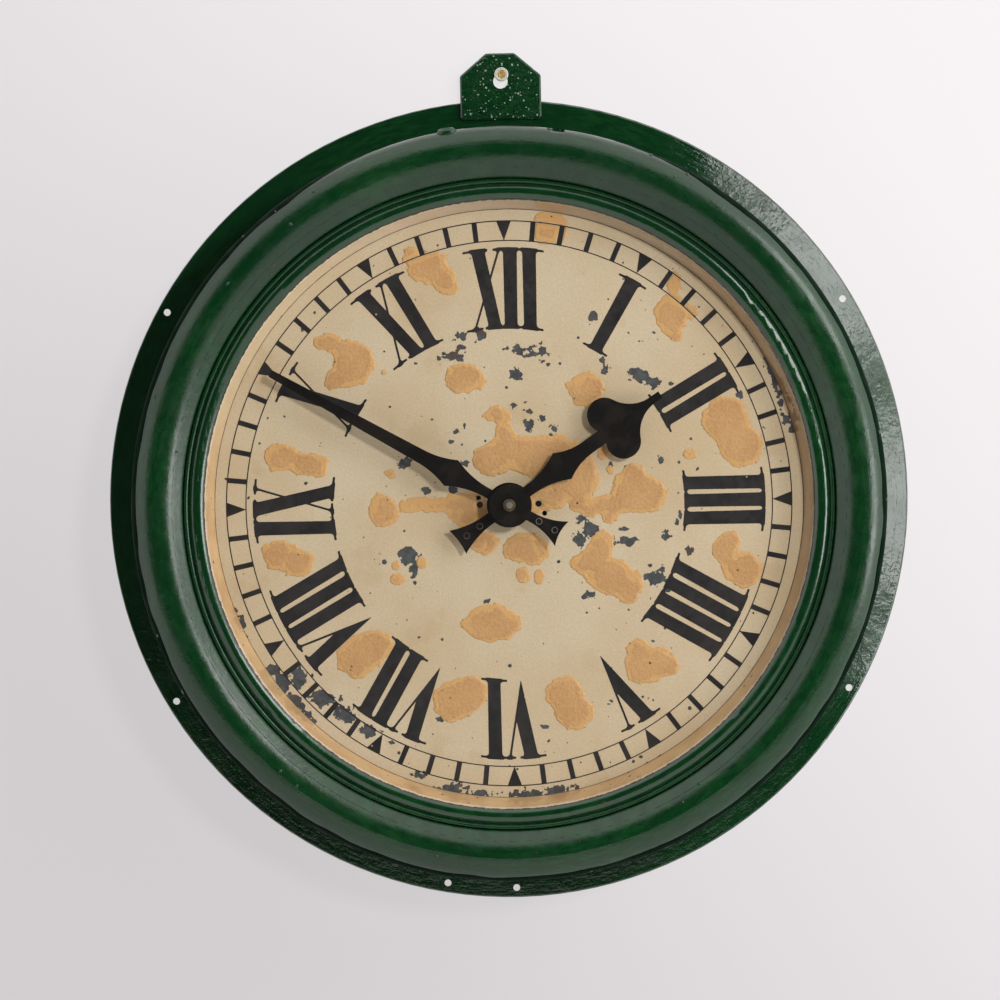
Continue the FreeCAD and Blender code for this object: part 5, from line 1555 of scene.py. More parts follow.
    chips: tuple[tuple[float, ...], ...] = (
        (-31.8, 88.6, 15.9, 6.8), (-39.9, 87.2, 1.9, 2.7), (-26.8, 99.8, 7.6, 5.3),
        (-26.5, 93.6, 4.2, 3.8), (-15.1, 99, 6.4, 8), (7.1, 90.8, 15.9, 5.7),
        (16.2, 88, 13.3, 4.5), (20.9, 89.4, 4.9, 8.3), (5.9, 77.2, 7.2, 6.1),
        (57.2, 81.8, 4.2, 9.1), (79.7, 73.4, 12.1, 8.3), (86.3, 69.8, 9.9, 6.4),
        (75, 76.1, 5.7, 6.8), (96.7, 69.6, 2.3, 1.9), (12.3, 46.7, 7.6, 7.2),
        (19.6, 50.4, 3.8, 4.2), (12.6, 54.3, 4.5, 3), (27, 44.2, 4.9, 3), (3.6, 57.5, 3.4, 3.8),
        (-30.8, 43.4, 4.2, 3.4), (-25.6, 47.1, 2.3, 4.2), (-33.4, 37.8, 2.3, 2.3),
        (-27.2, 35.4, 2.7, 2.3), (-60.5, 26, 9.9, 8.7), (-55.9, 29.9, 5.7, 4.5),
        (-49.5, 9.7, 5.7, 4.2), (-33.9, 9.4, 6.4, 4.9), (-26.1, 24.8, 7.6, 3.4),
        (47, -15.9, 10.2, 11), (41.2, -21.5, 7.6, 8.3), (42, -10.2, 4.5, 4.5),
        (69.6, -23.6, 13.6, 5.7), (66.5, -15.8, 7.6, 2.3), (84.9, -45.1, 13.6, 7.2),
        (89.7, -40.9, 2.7, 8), (80.2, -43.7, 4.5, 3), (92, -20.1, 4.5, 5.3),
        (106, -29.5, 5.3, 7.6), (100.8, -8.1, 2.3, 5.7), (98.8, -12.6, 2.7, 3.8),
        (90.1, 24.9, 3.4, 4.2), (-59.4, -29.9, 11.7, 10.6), (-57.6, -37.1, 5.3, 9.5),
        (-62.5, -27, 6.4, 3.8), (-56.7, -45.8, 2.7, 2.7), (-75, -33, 3, 3), (-13.9, -57.3, 4.5, 3),
        (45.8, -54.4, 7.2, 4.5), (28.6, -34.7, 1.9, 1.9), (82.7, -57.4, 2.3, 3.8),
        (60.3, 20.7, 2.7, 4.9), (10.3, 59.7, 2.7, 2.3), (24.9, 82.1, 2.7, 3),
        (31.6, 82.3, 1.9, 1.9), (-141.4, -95.8, 10.2, 8.3), (-135.9, -103.5, 8.3, 13.3, -30),
        (-129.4, -113.5, 7.6, 15.2, -38), (-122.1, -123.5, 6.4, 11.4, -42),
        (-126.3, -100.7, 10.2, 13.6), (-113.9, -112.8, 14, 9.9), (-100.8, -122, 12.1, 8.3),
        (-97.1, -125.9, 7.6, 4.5), (-86.3, -132.4, 14.4, 7.6), (-56.5, -159.5, 9.1, 4.5),
        (-37.7, -167.6, 17.4, 7.2), (-22.6, -171.4, 22.7, 4.5), (7.7, -172.2, 26.5, 6.4),
        (-163.4, -59.3, 2.7, 4.9), (-159.6, -67.4, 4.5, 7.6), (-156.7, -75, 1.9, 3),
        (-156.4, -89.2, 1.9, 4.2), (-43.9, -126.6, 4.9, 4.5), (-102, -113.1, 2.7, 3),
        (-72.2, -139.7, 3, 2.7), (-132.4, -119.7, 1.9, 1.9), (17, -132, 6.8, 2.3),
        (-109.5, -66.5, 1.9, 1.5), (-62.2, -67.5, 1.5, 1.5), (-54.8, -77.5, 1.9, 1.5),
        (-35.8, -72.2, 1.5, 1.5), (-1.6, -95.6, 1.9, 1.9), (-68.5, -146.4, 1.9, 1.9),
        (92.9, -52.8, 5, 2), (90.8, -75.1, 2.3, 1.7), (83.5, -82.8, 2.3, 2), (57.9, -117.9, 4, 3),
        (56.2, -127, 2, 1.3), (86.7, -150.8, 2.7, 1.7), (79.2, -154.8, 3, 1.3),
        (73.6, -159.2, 2, 1), (25, -170.3, 23.2, 5.6), (42.5, -167.3, 1.3, 1.3),
        (82.4, -38, 5, 2.3), (80, -116.7, 1.3, 1.3), (82.8, -117.6, 1.3, 1.3),
        (39.4, -154.2, 1.7, 1.7), (56.8, -154.5, 1.7, 1.7), (31.4, -142.2, 1.3, 1.3),
        (44.6, -65.4, 1.7, 1.3), (51.3, 110, 6.3, 6.5), (80, 94.7, 3.1, 1.3), (72.4, 99.8, 2, 1.7),
        (87.6, 99.5, 2, 1.7), (137.3, 61.1, 4.5, 4), (100.7, 22.8, 2, 1.7), (111.5, 18.6, 2.6, 2),
        (70.3, 20.5, 3.7, 2), (109.7, 90.9, 1.4, 1.4), (116.7, 86.1, 1.1, 1.1),
        (82.6, 112.9, 1.1, 1.1), (60.9, 119.5, 1.1, 1.1), (153, 81.8, 3.7, 8.5, -25),
        (157.1, 72.1, 3.4, 12.8, -18), (160.8, 59.2, 4, 15.6, -15), (164, 48.5, 4.8, 12.8, -12),
        (167.3, 41.3, 4, 7.1), (107.9, 36.8, 1.7, 1.7),
    )

    def plane(self) -> Plane:
        """The grid over the whole dial."""
        reach = self.edge + 2.0
        return Plane((-reach, -reach), (reach, reach), self.grid_step)

    def chip_field(self, plane: Plane) -> Array:
        """Where the coat has broken away.

        Args:
            plane: The grid.

        Returns:
            A field, positive on the bare metal.
        """
        x, z = plane.points()
        noise = SurfaceNoise(self.chip_seed)
        (broad, most), (medium, more), (fine, some) = self.chip_grain
        grain = (noise.at(x, z, broad) * most + noise.at(z, x, medium) * more
                 + noise.at(x + z, x - z, fine) * some - self.chip_ease)
        draw = np.random.default_rng(self.speck_seed)
        spots = [Blot(*chip) for chip in self.chips]
        for _ in range(self.specks):
            angle = draw.uniform(0.0, FULL_TURN)
            reach = self.edge * math.sqrt(draw.uniform(self.speck_start, 1.0))
            size = draw.uniform(*self.speck_sizes)
            spots.append(Blot(reach * math.sin(angle), reach * math.cos(angle), size, size))
        result = np.full(x.shape, self.chip_far)
        for spot in spots:
            near = plane.window(spot.x, spot.z, spot.reach)
            rough = min(1.0, spot.least / self.chip_ragged_from)
            inside = spot.depth(x[near], z[near]) + rough * grain[near]
            result[near] = np.maximum(result[near], inside)
        return result

    def track_field(self, x: Array, z: Array) -> Array:
        """The two rings, the minute bars and the five-minute points between them.

        Args:
            x: Places to the right.
            z: Places upwards.

        Returns:
            The track's field.
        """
        radius = np.hypot(x, z)
        inner, outer = self.rings
        half = self.ring_line / 2.0
        lines = np.maximum(half - np.abs(radius - inner), half - np.abs(radius - outer))
        angle = np.degrees(np.arctan2(x, z))
        off_minute = np.abs((angle + 3.0) % 6.0 - 3.0)
        off_five = np.abs((angle + 15.0) % 30.0 - 15.0)
        band = np.minimum(radius - inner, outer - radius)
        across = np.radians(off_minute) * radius
        bars = np.minimum(self.minute_bar / 2.0 - across, band)
        bars[off_five < 3.0] = -3.0
        share = (radius - inner) / (outer - inner)
        points = np.minimum(self.five_base / 2.0 * share - np.radians(off_five) * radius, band)
        return np.maximum.reduce((lines, bars, points))

    def ink_field(self, x: Array, z: Array) -> Array:
        """All the black markings.

        Args:
            x: Places to the right.
            z: Places upwards.

        Returns:
            The field.
        """
        fields = [self.track_field(x, z)]
        fields += [numeral.cover(x, z) for numeral in self.numerals]
        return np.maximum.reduce(fields)

    def coat_field(self, x: Array, z: Array) -> Array:
        """The cream coat, open at the dial's holes.

        Args:
            x: Places to the right.
            z: Places upwards.

        Returns:
            The field.
        """
        radius = np.hypot(x, z)
        result = np.minimum(self.edge - radius, radius - self.hub_hole)
        for side in (-self.screw_offset, self.screw_offset):
            result = np.minimum(result, np.hypot(x - side, z) - self.screw_hole)
        for place_x, place_z in self.old_holes:
            result = np.minimum(result, np.hypot(x - place_x, z - place_z) - self.old_hole)
        return result

    def patch_field(self, plane: Plane) -> Array:
        """The filler patches.

        Args:
            plane: The grid.

        Returns:
            The field.
        """
        x, z = plane.points()
        noise = SurfaceNoise(self.patch_seed)
        (broad, most), (medium, more), (fine, some) = self.patch_grain
        ragged = (noise.at(x, z, broad) * most + noise.at(z, x, medium) * more
                  + noise.at(x - z, x + z, fine) * some)
        result = np.full(x.shape, self.patch_far)
        for group in self.patches:
            spots = [Blot(*entry) for entry in group]
            first = spots[0]
            reach = max(math.hypot(spot.x - first.x, spot.z - first.z) + spot.reach
                        for spot in spots)
            near = plane.window(first.x, first.z, reach)
            joined = first.depth(x[near], z[near])
            for spot in spots[1:]:
                joined = soft_union(joined, spot.depth(x[near], z[near]), self.patch_fillet)
            widest = max(spot.width for spot in spots)
            share = min(1.0, widest / self.patch_ragged_from)
            result[near] = np.maximum(result[near], joined + share * ragged[near])
        return result

    @staticmethod
    def flat(height: float) -> Height:
        """The front of an even layer at one height."""
        return lambda x, z, depth: np.full(x.shape, height)

    def build(self) -> None:
        """Makes the coat, the markings and the patches."""
        plane = self.plane()
        x, z = plane.points()
        bare = self.chip_field(plane)
        coat = self.coat_field(x, z)
        ink = self.ink_field(x, z)
        top = self.front + self.coat
        whole = Film(plane, np.minimum(coat, -bare))
        add_piece("dial_coat", whole.mesh("dial_coat", self.front, self.flat(top)),
                  DialCoat("cream_dial_paint"), "case")
        marks = Film(plane, np.minimum(ink, coat))
        add_piece("dial_markings",
                  marks.mesh("dial_markings", top, self.flat(top + self.ink)),
                  BlackPaint("black_marking_paint"), "case")
        hole_gap, ink_gap = self.patch_gaps
        spread = np.minimum(self.patch_field(plane), np.minimum(coat - hole_gap, -ink - ink_gap))
        patches = Film(plane, spread, self.patch_slack)
        add_piece("dial_filler",
                  patches.mesh("dial_filler", top, FillerForm(top).front, self.patch_spacing),
                  Filler("buff_filler", level=top), "case", smooth=True)


@dataclass
class CaseDress:
    """Gathered paint on the case, its raised bead, the closed hole in the roll and a dull dark
    film of painted shade on the roll's outer shoulder.
    """

    drum: float = 222.0
    roll: float = 15.25
    flange_front: float = 2.0
    bead: float = 2.2
    steps: int = 720
    plug_angle: float = -8.4
    plug_lean: float = 72.0
    plug_size: Span = (6.4, 4.4)
    plug_rim: Triple = (1.9, 0.62, 0.2)
    plug_floor: Span = (0.3, 0.55)
    lump_sunk: float = 0.6
    runs: int = 26
    run_leans: Span = (-70.0, 75.0)
    run_lengths: Span = (0.8, 1.9)
    run_widths: Span = (0.7, 1.5)
    run_form: Span = (0.75, 0.15)
    run_seed: int = 12
    bead_sunk: Span = (0.3, 0.2)
    bead_skin: Section = ((0.95, 0.08), (0.45, 0.45))
    bead_top: float = 0.12
    bead_ripple: Triple = (0.7, 9.0, 220.0)
    bead_seed: int = 5
    shoulder_start: float = 51.0
    shoulder_end: float = 88.0
    shoulder_ripple: Span = (3.0, 14.0)
    shoulder_foot: float = 71.0
    shoulder_gap: float = 13.0
    shoulder_taper: float = 22.0
    shoulder_seed: int = 8
    film_rows: int = 12
    film_rise: float = 0.1
    film_sunk: float = 0.4
    film_tuck: Span = (1.0, 0.05)
    fillet_lean: float = -40.0
    fillet_rows: int = 6
    fillet_rise: float = 0.03
    fillet_tuck: Span = (2.5, 0.05)
    fillet_sunk: Span = (1.6, 1.0)
    seam: float = 191.4
    seam_foot: float = 75.6
    seam_width: float = 0.5
    seam_edge: Section = ((0.12, -0.65), (0.0, -1.2))
    bead_ring: Section = ((191.15, 75.0), (191.15, 77.5), (190.95, 78.2), (190.4, 78.7),
                          (189.6, 78.9), (188.9, 78.6), (188.35, 78.0), (187.9, 77.2),
                          (187.9, 75.0))
    finish: CasePaint = CASE_PAINT
    # Dull dark green sheet of painted shade where the roll's outer shoulder meets the flange.
    shoulder_shade_paint: CasePaint = CasePaint("green_shoulder_painted_shade", paint(3, 22, 11), paint(8, 37, 18),
                                gloss=(0.55, 0.75), coat=0.0, mirror=0.02)
    roll_height: float = field(init=False)

    def __post_init__(self) -> None:
        """Reads the height of the roll's middle above the wall off the drum."""
        self.roll_height = -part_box("case_drum")[0].y / MM - self.roll

    def on_roll(self, angle: float, lean: float, along: float, over: float,
                rise: float) -> Triple:
        """A point on the roll's skin.

        Args:
            angle: Place round the clock, in degrees clockwise from the top.
            lean: Place over the roll, in degrees outwards from its crest.
            along: Added way round the clock, in millimetres.
            over: Added way outwards over the roll, in millimetres.
            rise: Height over the skin, in millimetres.

        Returns:
            The point in metres.
        """
        tilt = math.radians(lean) + over / self.roll
        reach = self.drum - self.roll + (self.roll + rise) * math.sin(tilt)
        turn = math.radians(angle) + along / self.drum
        height = self.roll_height + (self.roll + rise) * math.cos(tilt)
        return (reach * math.sin(turn) * MM, -height * MM, reach * math.cos(turn) * MM)

    def lump(self, angle: float, lean: float, size: Span,
             rise: Callable[[float], float], rings: int = 7,
             around: int = 28) -> tuple[list[Any], list[Any]]:
        """A lump of paint on the roll, sunk a little into its skin at the edge.

        Args:
            angle: Place round the clock, in degrees.
            lean: Place over the roll, in degrees.
            size: Half its length round the clock and half its width over the roll.
            rise: Height over the skin from the share of the way to the edge.
            rings: Number of rings of points.
            around: Points to a ring.

        Returns:
            Its points and faces.
        """
        points = [self.on_roll(angle, lean, 0.0, 0.0, rise(0.0))]
        for ring in range(1, rings + 1):
            share = ring / rings
            for step in range(around):
                way = FULL_TURN * step / around
                points.append(self.on_roll(angle, lean, size[0] * share * math.cos(way),
                                           size[1] * share * math.sin(way), rise(share)))
        points.append(self.on_roll(angle, lean, 0.0, 0.0, -self.lump_sunk))
        faces: list[Any] = []
        for step in range(around):
            after = (step + 1) % around
            faces.append((0, 1 + after, 1 + step))
            for ring in range(rings - 1):
                a, b = 1 + ring * around, 1 + (ring + 1) * around
                faces.append((a + step, a + after, b + after, b + step))
            last = 1 + (rings - 1) * around
            faces.append((last + step, last + after, len(points) - 1))
        return points, faces

    def gathered(self) -> None:
        """Makes the closed hole's lumpy rim and the runs of thick paint on the roll."""
        tall, middle, width = self.plug_rim
        level, fall = self.plug_floor
        crown, sunk = self.run_form

        def rim(share: float) -> float:
            """Height of the closed hole's rim."""
            return tall * math.exp(-((share - middle) / width) ** 2) + level - fall * share ** 4

        def run(share: float) -> float:
            """Height of a run of paint."""
            return crown * (1.0 - share * share) - sunk

        draw = np.random.default_rng(self.run_seed)
        lumps = [self.lump(self.plug_angle, self.plug_lean, self.plug_size, rim)]
        for _ in range(self.runs):
            angle, lean = draw.uniform(0.0, 360.0), draw.uniform(*self.run_leans)
            size = (draw.uniform(*self.run_lengths), draw.uniform(*self.run_widths))
            lumps.append(self.lump(angle, lean, size, run, 4, 16))
        points: list[Any] = []
        faces: list[Any] = []
        for part_points, part_faces in lumps:
            first = len(points)
            points += part_points
            faces += [tuple(first + k for k in face) for face in part_faces]
        mesh = new_mesh("paint_lumps", points, faces)
        add_piece("paint_lumps", mesh, self.finish, "case", smooth=True)

    def paint_bead(self) -> None:
        """Makes the bead of paint in the corner between drum and flange."""
        noise = SurfaceNoise(self.bead_seed)
        angles = np.linspace(0.0, FULL_TURN, self.steps, endpoint=False)
        depth, length, reach = self.bead_ripple
        ripple = noise.at(np.sin(angles) * reach, np.cos(angles) * reach, length)
        low, size = self.flange_front, self.bead

        def wave(angle: float, number: int) -> float:
            """Unevenness of the bead's foot, at an angle and a point of the section."""
            step = int(round(angle / FULL_TURN * self.steps)) % self.steps
            return depth * float(ripple[step]) if number in (1, 2) else 0.0

        inner, under = self.drum - self.bead_sunk[0], low - self.bead_sunk[1]
        skin = [(self.drum + size * share, low + rise) for share, rise in self.bead_skin]
        outline = [(inner, under), (self.drum + size, under), *skin,
                   (self.drum + self.bead_top, low + size), (inner, low + size)]
        mesh = turned_mesh("paint_bead", outline, self.steps, wave)
        add_piece("paint_bead", mesh, self.finish, "case", smooth=True)

    def section(self, lean: float, rise: float) -> Span:
        """A point of the roll's section.

        Args:
            lean: Place over the roll, in degrees outwards from its crest.
            rise: Height over the skin, in millimetres.

        Returns:
            Its radius and its height above the wall, in millimetres.
        """
        tilt = math.radians(lean)
        return (self.drum - self.roll + (self.roll + rise) * math.sin(tilt),
                self.roll_height + (self.roll + rise) * math.cos(tilt))

    def shoulder(self) -> None:
        """Makes the dull dark film of painted shade on the roll's outer shoulder and the drum's
        side.
        """
        gap, taper = math.radians(self.shoulder_gap), math.radians(self.shoulder_taper)
        noise = SurfaceNoise(self.shoulder_seed)
        places = np.linspace(0.0, FULL_TURN, self.steps)
        depth, length = self.shoulder_ripple
        ripple = noise.at(np.sin(places) * self.drum, np.cos(places) * self.drum, length)

        def film(angle: float) -> Section:
            """The film's section, which narrows towards its ends.

            Args:
                angle: Place round the clock, clockwise from the top.

            Returns:
                Radius and height of its points.
            """
            share = min(1.0, (min(angle, FULL_TURN - angle) - gap) / taper)
            uneven = depth * float(np.interp(angle, places, ripple)) * share
            low = self.shoulder_end - (self.shoulder_end - self.shoulder_start) * share + uneven
            leans = [float(lean) for lean in np.linspace(low, 90.0, self.film_rows)]
            back, tuck = self.film_tuck
            return ([self.section(low - back, -tuck)]
                    + [self.section(lean, self.film_rise) for lean in leans]
                    + [(self.drum + self.film_rise, self.shoulder_foot),
                       (self.drum - self.film_sunk, self.shoulder_foot)]
                    + [self.section(lean, -self.film_sunk) for lean in reversed(leans)])

        mesh = turned_mesh("shoulder_painted_shade", film, self.steps, gap=gap)
        add_piece("shoulder_painted_shade", mesh, self.shoulder_shade_paint, "case", smooth=True)

    def fillet(self) -> None:
        """Makes the filled inner foot of the roll and the bezel's raised bead."""
        top = self.section(self.fillet_lean, 0.0)
        slope = math.tan(math.radians(-self.fillet_lean))
        over, tuck = self.fillet_tuck
        outwards, sunk = self.fillet_sunk
        outline = [self.section(self.fillet_lean + over, -tuck)]
        for share in np.linspace(0.0, 1.0, self.fillet_rows):
            reach = top[0] + (self.seam + self.seam_width - top[0]) * float(share)
            outline.append((reach, top[1] - (top[0] - reach) * slope + self.fillet_rise))
        edge = outline[-1][1]
        outline += [(self.seam + out, edge + up) for out, up in self.seam_edge]
        outline += [(self.seam, self.seam_foot), (self.seam + outwards, self.seam_foot),
                    self.section(self.fillet_lean, -sunk)]
        for name, shape in (("groove_fillet", outline), ("bezel_bead_ring", self.bead_ring)):
            add_piece(name, turned_mesh(name, shape, self.steps), self.finish, "case",
                      smooth=True)

    def build(self) -> None:
        """Makes all the pieces."""
        self.paint_bead()
        self.gathered()
        self.shoulder()
        self.fillet()


@dataclass
class HandDress:
    """The worn bright rims of the rivets in the tails of the hands."""

    radius: float = 1.7
    width: float = 0.5
    rise: float = 0.08
    sunk: float = 0.1
    crown_share: float = 0.6
    steps: int = 40
    finish: Metal = Metal("worn_rivet_rim", paint(152, 145, 135), paint(70, 64, 58), (0.5, 0.65))

    def rims(self, hand: str, falling: bool) -> None:
        """Makes the rims of one hand's two rivets.

        Args:
            hand: The body that the hand belongs to.
            falling: Whether the rivets run from the upper left to the lower right.
        """
        low, high = (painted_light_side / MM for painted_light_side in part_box(f"{hand}_hand_rivets"))
        left, right = low.x + self.radius, high.x - self.radius
        bottom, top = low.z + self.radius, high.z - self.radius
        front, half = -low.y, self.width / 2.0
        under, crown = front - self.sunk, half * self.crown_share
        outline = [(self.radius - half, under), (self.radius + half, under),
                   (self.radius + crown, front + self.rise),
                   (self.radius - crown, front + self.rise)]
        ends = ((left, top), (right, bottom)) if falling else ((left, bottom), (right, top))
        for number, axis in enumerate(ends, 1):
            name = f"{hand}_rivet_rim_{number}"
            mesh = turned_mesh(name, outline, self.steps, axis=axis)
            add_piece(name, mesh, self.finish, hand, smooth=True)

    def build(self) -> None:
        """Makes the rims of both hands."""
        self.rims("minute", True)
        self.rims("hour", False)


@dataclass
class CoilWrap:
    """The two coils, wrapped in tape over their windings."""

    cores: Span = (-14.0, 14.0)
    turns: int = 9
    turn_rows: int = 8
    around: int = 56
    ridge: float = 0.28

    def build(self) -> None:
        """Makes the wrapped coils in place of the plain windings."""
        low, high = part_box("coil_windings")
        bottom, top = low.z, high.z
        radius = (high.y - low.y) / 2.0
        middle = (low.y + high.y) / 2.0
        rows = self.turns * self.turn_rows
        vertices: list[Triple] = []
        faces: list[tuple[int, ...]] = []
        for core in self.cores:
            first = len(vertices)
            for row in range(rows + 1):
                share = row / rows
                for step in range(self.around):
                    angle = FULL_TURN * step / self.around
                    phase = (share * self.turns + step / self.around) % 1.0
                    lap = 0.0 if row in (0, rows) else self.ridge * MM * (1.0 - phase)
                    reach = radius - self.ridge * MM + lap
                    vertices.append((core * MM + reach * math.cos(angle),
                                     middle + reach * math.sin(angle),
                                     bottom + (top - bottom) * share))
            for row in range(rows):
                for step in range(self.around):
                    after = (step + 1) % self.around
                    a, b = first + row * self.around, first + (row + 1) * self.around
                    faces.append((a + step, a + after, b + after, b + step))
            faces.append(tuple(first + k for k in reversed(range(self.around))))
            faces.append(tuple(first + rows * self.around + k for k in range(self.around)))
        mesh = new_mesh("coil_tape", vertices, faces)
        finish = Moulding("varnished_coil_tape", paint(112, 62, 30), paint(142, 88, 46), 0.42)
        piece = add_piece("coil_tape", mesh, finish, "case")
        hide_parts("coil_windings")


@dataclass
class FrameDress:
    """Finishes for the pieces that come with the frame."""

    finishes: dict[Slot, Finish] = field(default_factory=lambda: {
        Slot.GREEN: CASE_PAINT,
        Slot.BEZEL: BezelPaint("green_and_buff_bezel", gloss=(0.1, 0.2), coat=1.0),
        Slot.DIAL: DialMetal("dial_undercoat"),
        Slot.HAND: HandEnamel("black_hand_enamel"),
        Slot.NUT: Metal("worn_nut_brass", paint(178, 158, 124), paint(88, 77, 60), (0.4, 0.55)),
        Slot.BRASS: Metal("lacquered_brass", paint(206, 176, 108), paint(150, 116, 62)),
        Slot.STEEL: Metal("polished_steel", paint(178, 178, 176), paint(112, 108, 102),
                          (0.2, 0.42)),
        Slot.IRON: Metal("soft_iron", paint(120, 118, 116), paint(76, 68, 62), (0.36, 0.6)),
        Slot.RESIN: Moulding("brown_resin"),
        Slot.COIL: Moulding("coil_cotton", paint(112, 62, 30), paint(142, 88, 46), 0.5),
        Slot.LEAD: Moulding("lead_sleeve", paint(120, 34, 26), paint(92, 26, 22), 0.6),
    })

    special: dict[str, Finish] = field(default_factory=lambda: {
        "wall_flange": CasePaint("green_flange_paint", relief=0.55, grit=0.05, swell=170.0,
                                 bend=0.48, gloss=(0.1, 0.2), coat=1.0, mirror=0.8),
        "hanging_bracket": BRACKET_PAINT,
        "bracket_rivets": BRACKET_PAINT,
        "dial_screws": Metal("dark_screw_brass", paint(96, 80, 52), paint(52, 44, 34), (0.4, 0.6)),
        "centre_arbor": Metal("arbor_steel", paint(232, 228, 220), paint(170, 162, 150),
                              (0.4, 0.55))})

    def build(self, frame: dict[str, Any]) -> None:
        """Gives each carried piece its finish.
        """
        for entry in frame["record"]["subparts"]:
            node = frame["nodes"][entry["node"]]
            general = self.finishes[Slot(entry["material_slot"])]
            finish = self.special.get(entry["node"], general).material()
            if not node.material_slots:
                node.data.materials.append(finish)
            for place in node.material_slots:
                place.material = finish
            LOG.info("%s: %s", node.name, finish.name)


@dataclass(frozen=True)
class Lamp:
    """A round soft lamp that faces the clock and may leave no shine on it."""

    name: str
    azimuth: float
    elevation: float
    distance: float
    size: float
    power: float
    shine: bool = True

    def place(self) -> None:
        """Puts the lamp into the scene."""
        turn, lift = math.radians(self.azimuth), math.radians(self.elevation)
        spot = Vector((math.sin(turn) * math.cos(lift), -math.cos(turn) * math.cos(lift),
                       math.sin(lift))) * self.distance
        lamp = bpy.data.lights.new(self.name, "AREA")
        lamp.shape = "DISK"
        lamp.size = self.size
        lamp.energy = self.power
        holder = bpy.data.objects.new(self.name, lamp)
        holder.visible_glossy = self.shine
        holder.location = spot
        holder.rotation_euler = (-spot).to_track_quat("-Z", "Y").to_euler()
        bpy.context.scene.collection.objects.link(holder)


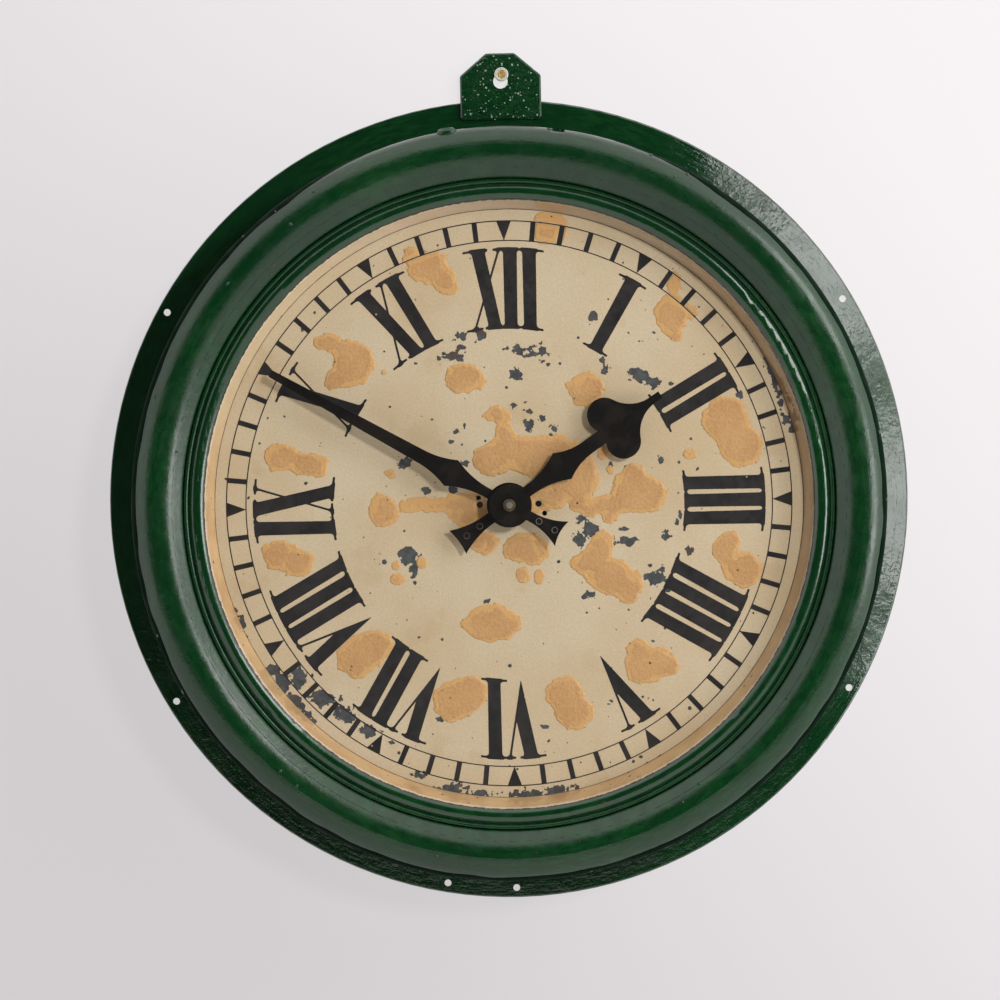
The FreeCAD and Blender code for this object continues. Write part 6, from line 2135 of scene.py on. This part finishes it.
@dataclass
class Studio:
    """The wall, the floor, the lights and the camera."""

    wall_gap: float = 0.0006
    floor_drop: float = -1.2
    distance: float = 2.02
    elevation: float = 2.1
    roll: float = 1.17
    lens: float = 119.3
    sensor: float = 36.0
    aim: Span = (-0.0054, 0.0003)
    half_width: float = 3.0
    wall_top: float = 2.5
    floor_ends: Span = (-4.0, 2.0)
    screw_place: Span = (0.6, 258.0)
    screw_steps: int = 48
    screw_head: Section = ((0.0, -0.5), (2.2, -0.5), (2.2, 6.0), (4.2, 6.0), (4.2, 7.3),
                           (3.9, 7.6), (2.6, 7.6), (2.3, 7.1), (0.0, 7.1))
    screw_middle: Section = ((0.0, 6.9), (2.25, 6.9), (2.25, 7.15), (1.5, 7.4), (0.9, 7.3),
                             (0.0, 7.2))
    lamps: tuple[Lamp, ...] = (
        Lamp("key", 22.0, 14.0, 2.2, 0.3, 20.5, shine=False),
        Lamp("side_high", 53.0, 27.0, 2.2, 0.9, 8.5),
        Lamp("side_low", 58.0, -3.0, 2.2, 0.9, 8.5),
    )
    room: float = 0.95
    fill: float = 0.65
    room_sides: tuple[tuple[str, float, float], ...] = (
        ("X", 1.0, 0.45), ("Z", 1.0, 0.2), ("Z", -1.0, -0.3), ("Y", 1.0, -0.6))
    side_span: Span = (0.25, 0.95)
    dark_front: Span = (0.55, 0.8)
    front_level: float = 0.02

    def plane(self, name: str, corners: Sequence[Triple],
              tone: Colour, painted_light_tone: Colour) -> bpy.types.Object:
        """A flat part of the stage, with its painted-light tone towards the upper right."""
        mesh = new_mesh(name, list(corners), [(0, 1, 2, 3)])
        return add_stage(name, mesh, Plaster(name + "_finish", tone, painted_light_tone))

    def wall_screw(self) -> None:
        """Puts the brass screw that the bracket hangs on into the wall."""
        for name, outline, tone, worn in (
                ("wall_screw", self.screw_head, paint(255, 252, 244), paint(236, 226, 204)),
                ("wall_screw_recess", self.screw_middle, paint(232, 200, 120),
                 paint(120, 92, 44))):
            mesh = turned_mesh(name, outline, self.screw_steps, axis=self.screw_place)
            add_stage(name, mesh, Metal(name + "_brass", tone, worn, (0.65, 0.8)))

    def light(self) -> None:
        """Places the lamps and the dim light of the room."""
        for lamp in self.lamps:
            lamp.place()
        world = bpy.data.worlds.new("room")
        bpy.context.scene.world = world
        world.use_nodes = True
        world.node_tree.nodes.clear()
        sheet = Sheet(world.node_tree)
        way = sheet.parts(sheet.add("ShaderNodeTexCoord").outputs["Generated"])
        strength: Any = self.room
        for axis, sign, amount in self.room_sides:
            facing = sheet.sum("MULTIPLY", way[axis], sign)
            added = sheet.between(facing, *self.side_span, 0.0, amount)
            strength = sheet.sum("ADD", strength, added)
        aside = sheet.between(sheet.sum("MULTIPLY", way["Y"], -1.0), *self.dark_front, 1.0, 0.0)
        strength = sheet.sum("ADD", sheet.sum("MULTIPLY", strength, aside), self.front_level)
        glossy = sheet.add("ShaderNodeLightPath").outputs["Is Glossy Ray"]
        strength = sheet.sum("MULTIPLY", strength,
                             sheet.between(glossy, 0.0, 1.0, self.fill, 1.0))
        back = sheet.add("ShaderNodeBackground", {"Color": (1.0, 0.99, 0.98, 1.0),
                                                  "Strength": strength})
        leave = sheet.add("ShaderNodeOutputWorld")
        sheet.feed(leave.inputs["Surface"], back.outputs[0])

    def camera(self) -> None:
        """Places the camera at the photograph's angle."""
        lift = math.radians(self.elevation)
        target = Vector((self.aim[0], 0.0, self.aim[1]))
        place = target + Vector((0.0, -math.cos(lift), math.sin(lift))) * self.distance
        data = bpy.data.cameras.new("camera")
        data.lens = self.lens
        data.sensor_width = self.sensor
        holder = bpy.data.objects.new("camera", data)
        look = (target - place).to_track_quat("-Z", "Y").to_matrix().to_4x4()
        turn = Matrix.Rotation(math.radians(-self.roll), 4, "Z")
        holder.matrix_world = Matrix.Translation(place) @ look @ turn
        bpy.context.scene.collection.objects.link(holder)
        bpy.context.scene.camera = holder

    def build(self) -> None:
        """Sets up the whole stage."""
        y, low, high, half = self.wall_gap, self.floor_drop, self.wall_top, self.half_width
        # Painted light on the wall: its tone runs from a painted shade at the lower left to a
        # painted light at the upper right.
        wall = self.plane("wall", ((-half, y, low), (half, y, low), (half, y, high),
                                   (-half, y, high)), paint(214, 210, 212), paint(254, 250, 251))
        wall.visible_shadow = False
        wall.visible_diffuse = False
        near, far = self.floor_ends
        self.plane("floor", ((-half, near, low), (half, near, low), (half, far, low),
                             (-half, far, low)), paint(226, 224, 222), paint(226, 224, 222))
        self.wall_screw()
        self.light()
        self.camera()
        bpy.context.scene.view_settings.view_transform = "Standard"


def clear_scene() -> None:
    """Empties the start-up scene."""
    for item in list(bpy.data.objects):
        bpy.data.objects.remove(item)


def main() -> None:
    """Builds the looks in order and notes the sizes."""
    logging.basicConfig(level=logging.INFO, format="%(name)s %(message)s")
    clear_scene()
    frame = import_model()
    FrameDress().build(frame)
    DialFace().build()
    CaseDress().build()
    HandDress().build()
    CoilWrap().build()
    Studio().build()


if __name__ == "__main__":
    main()
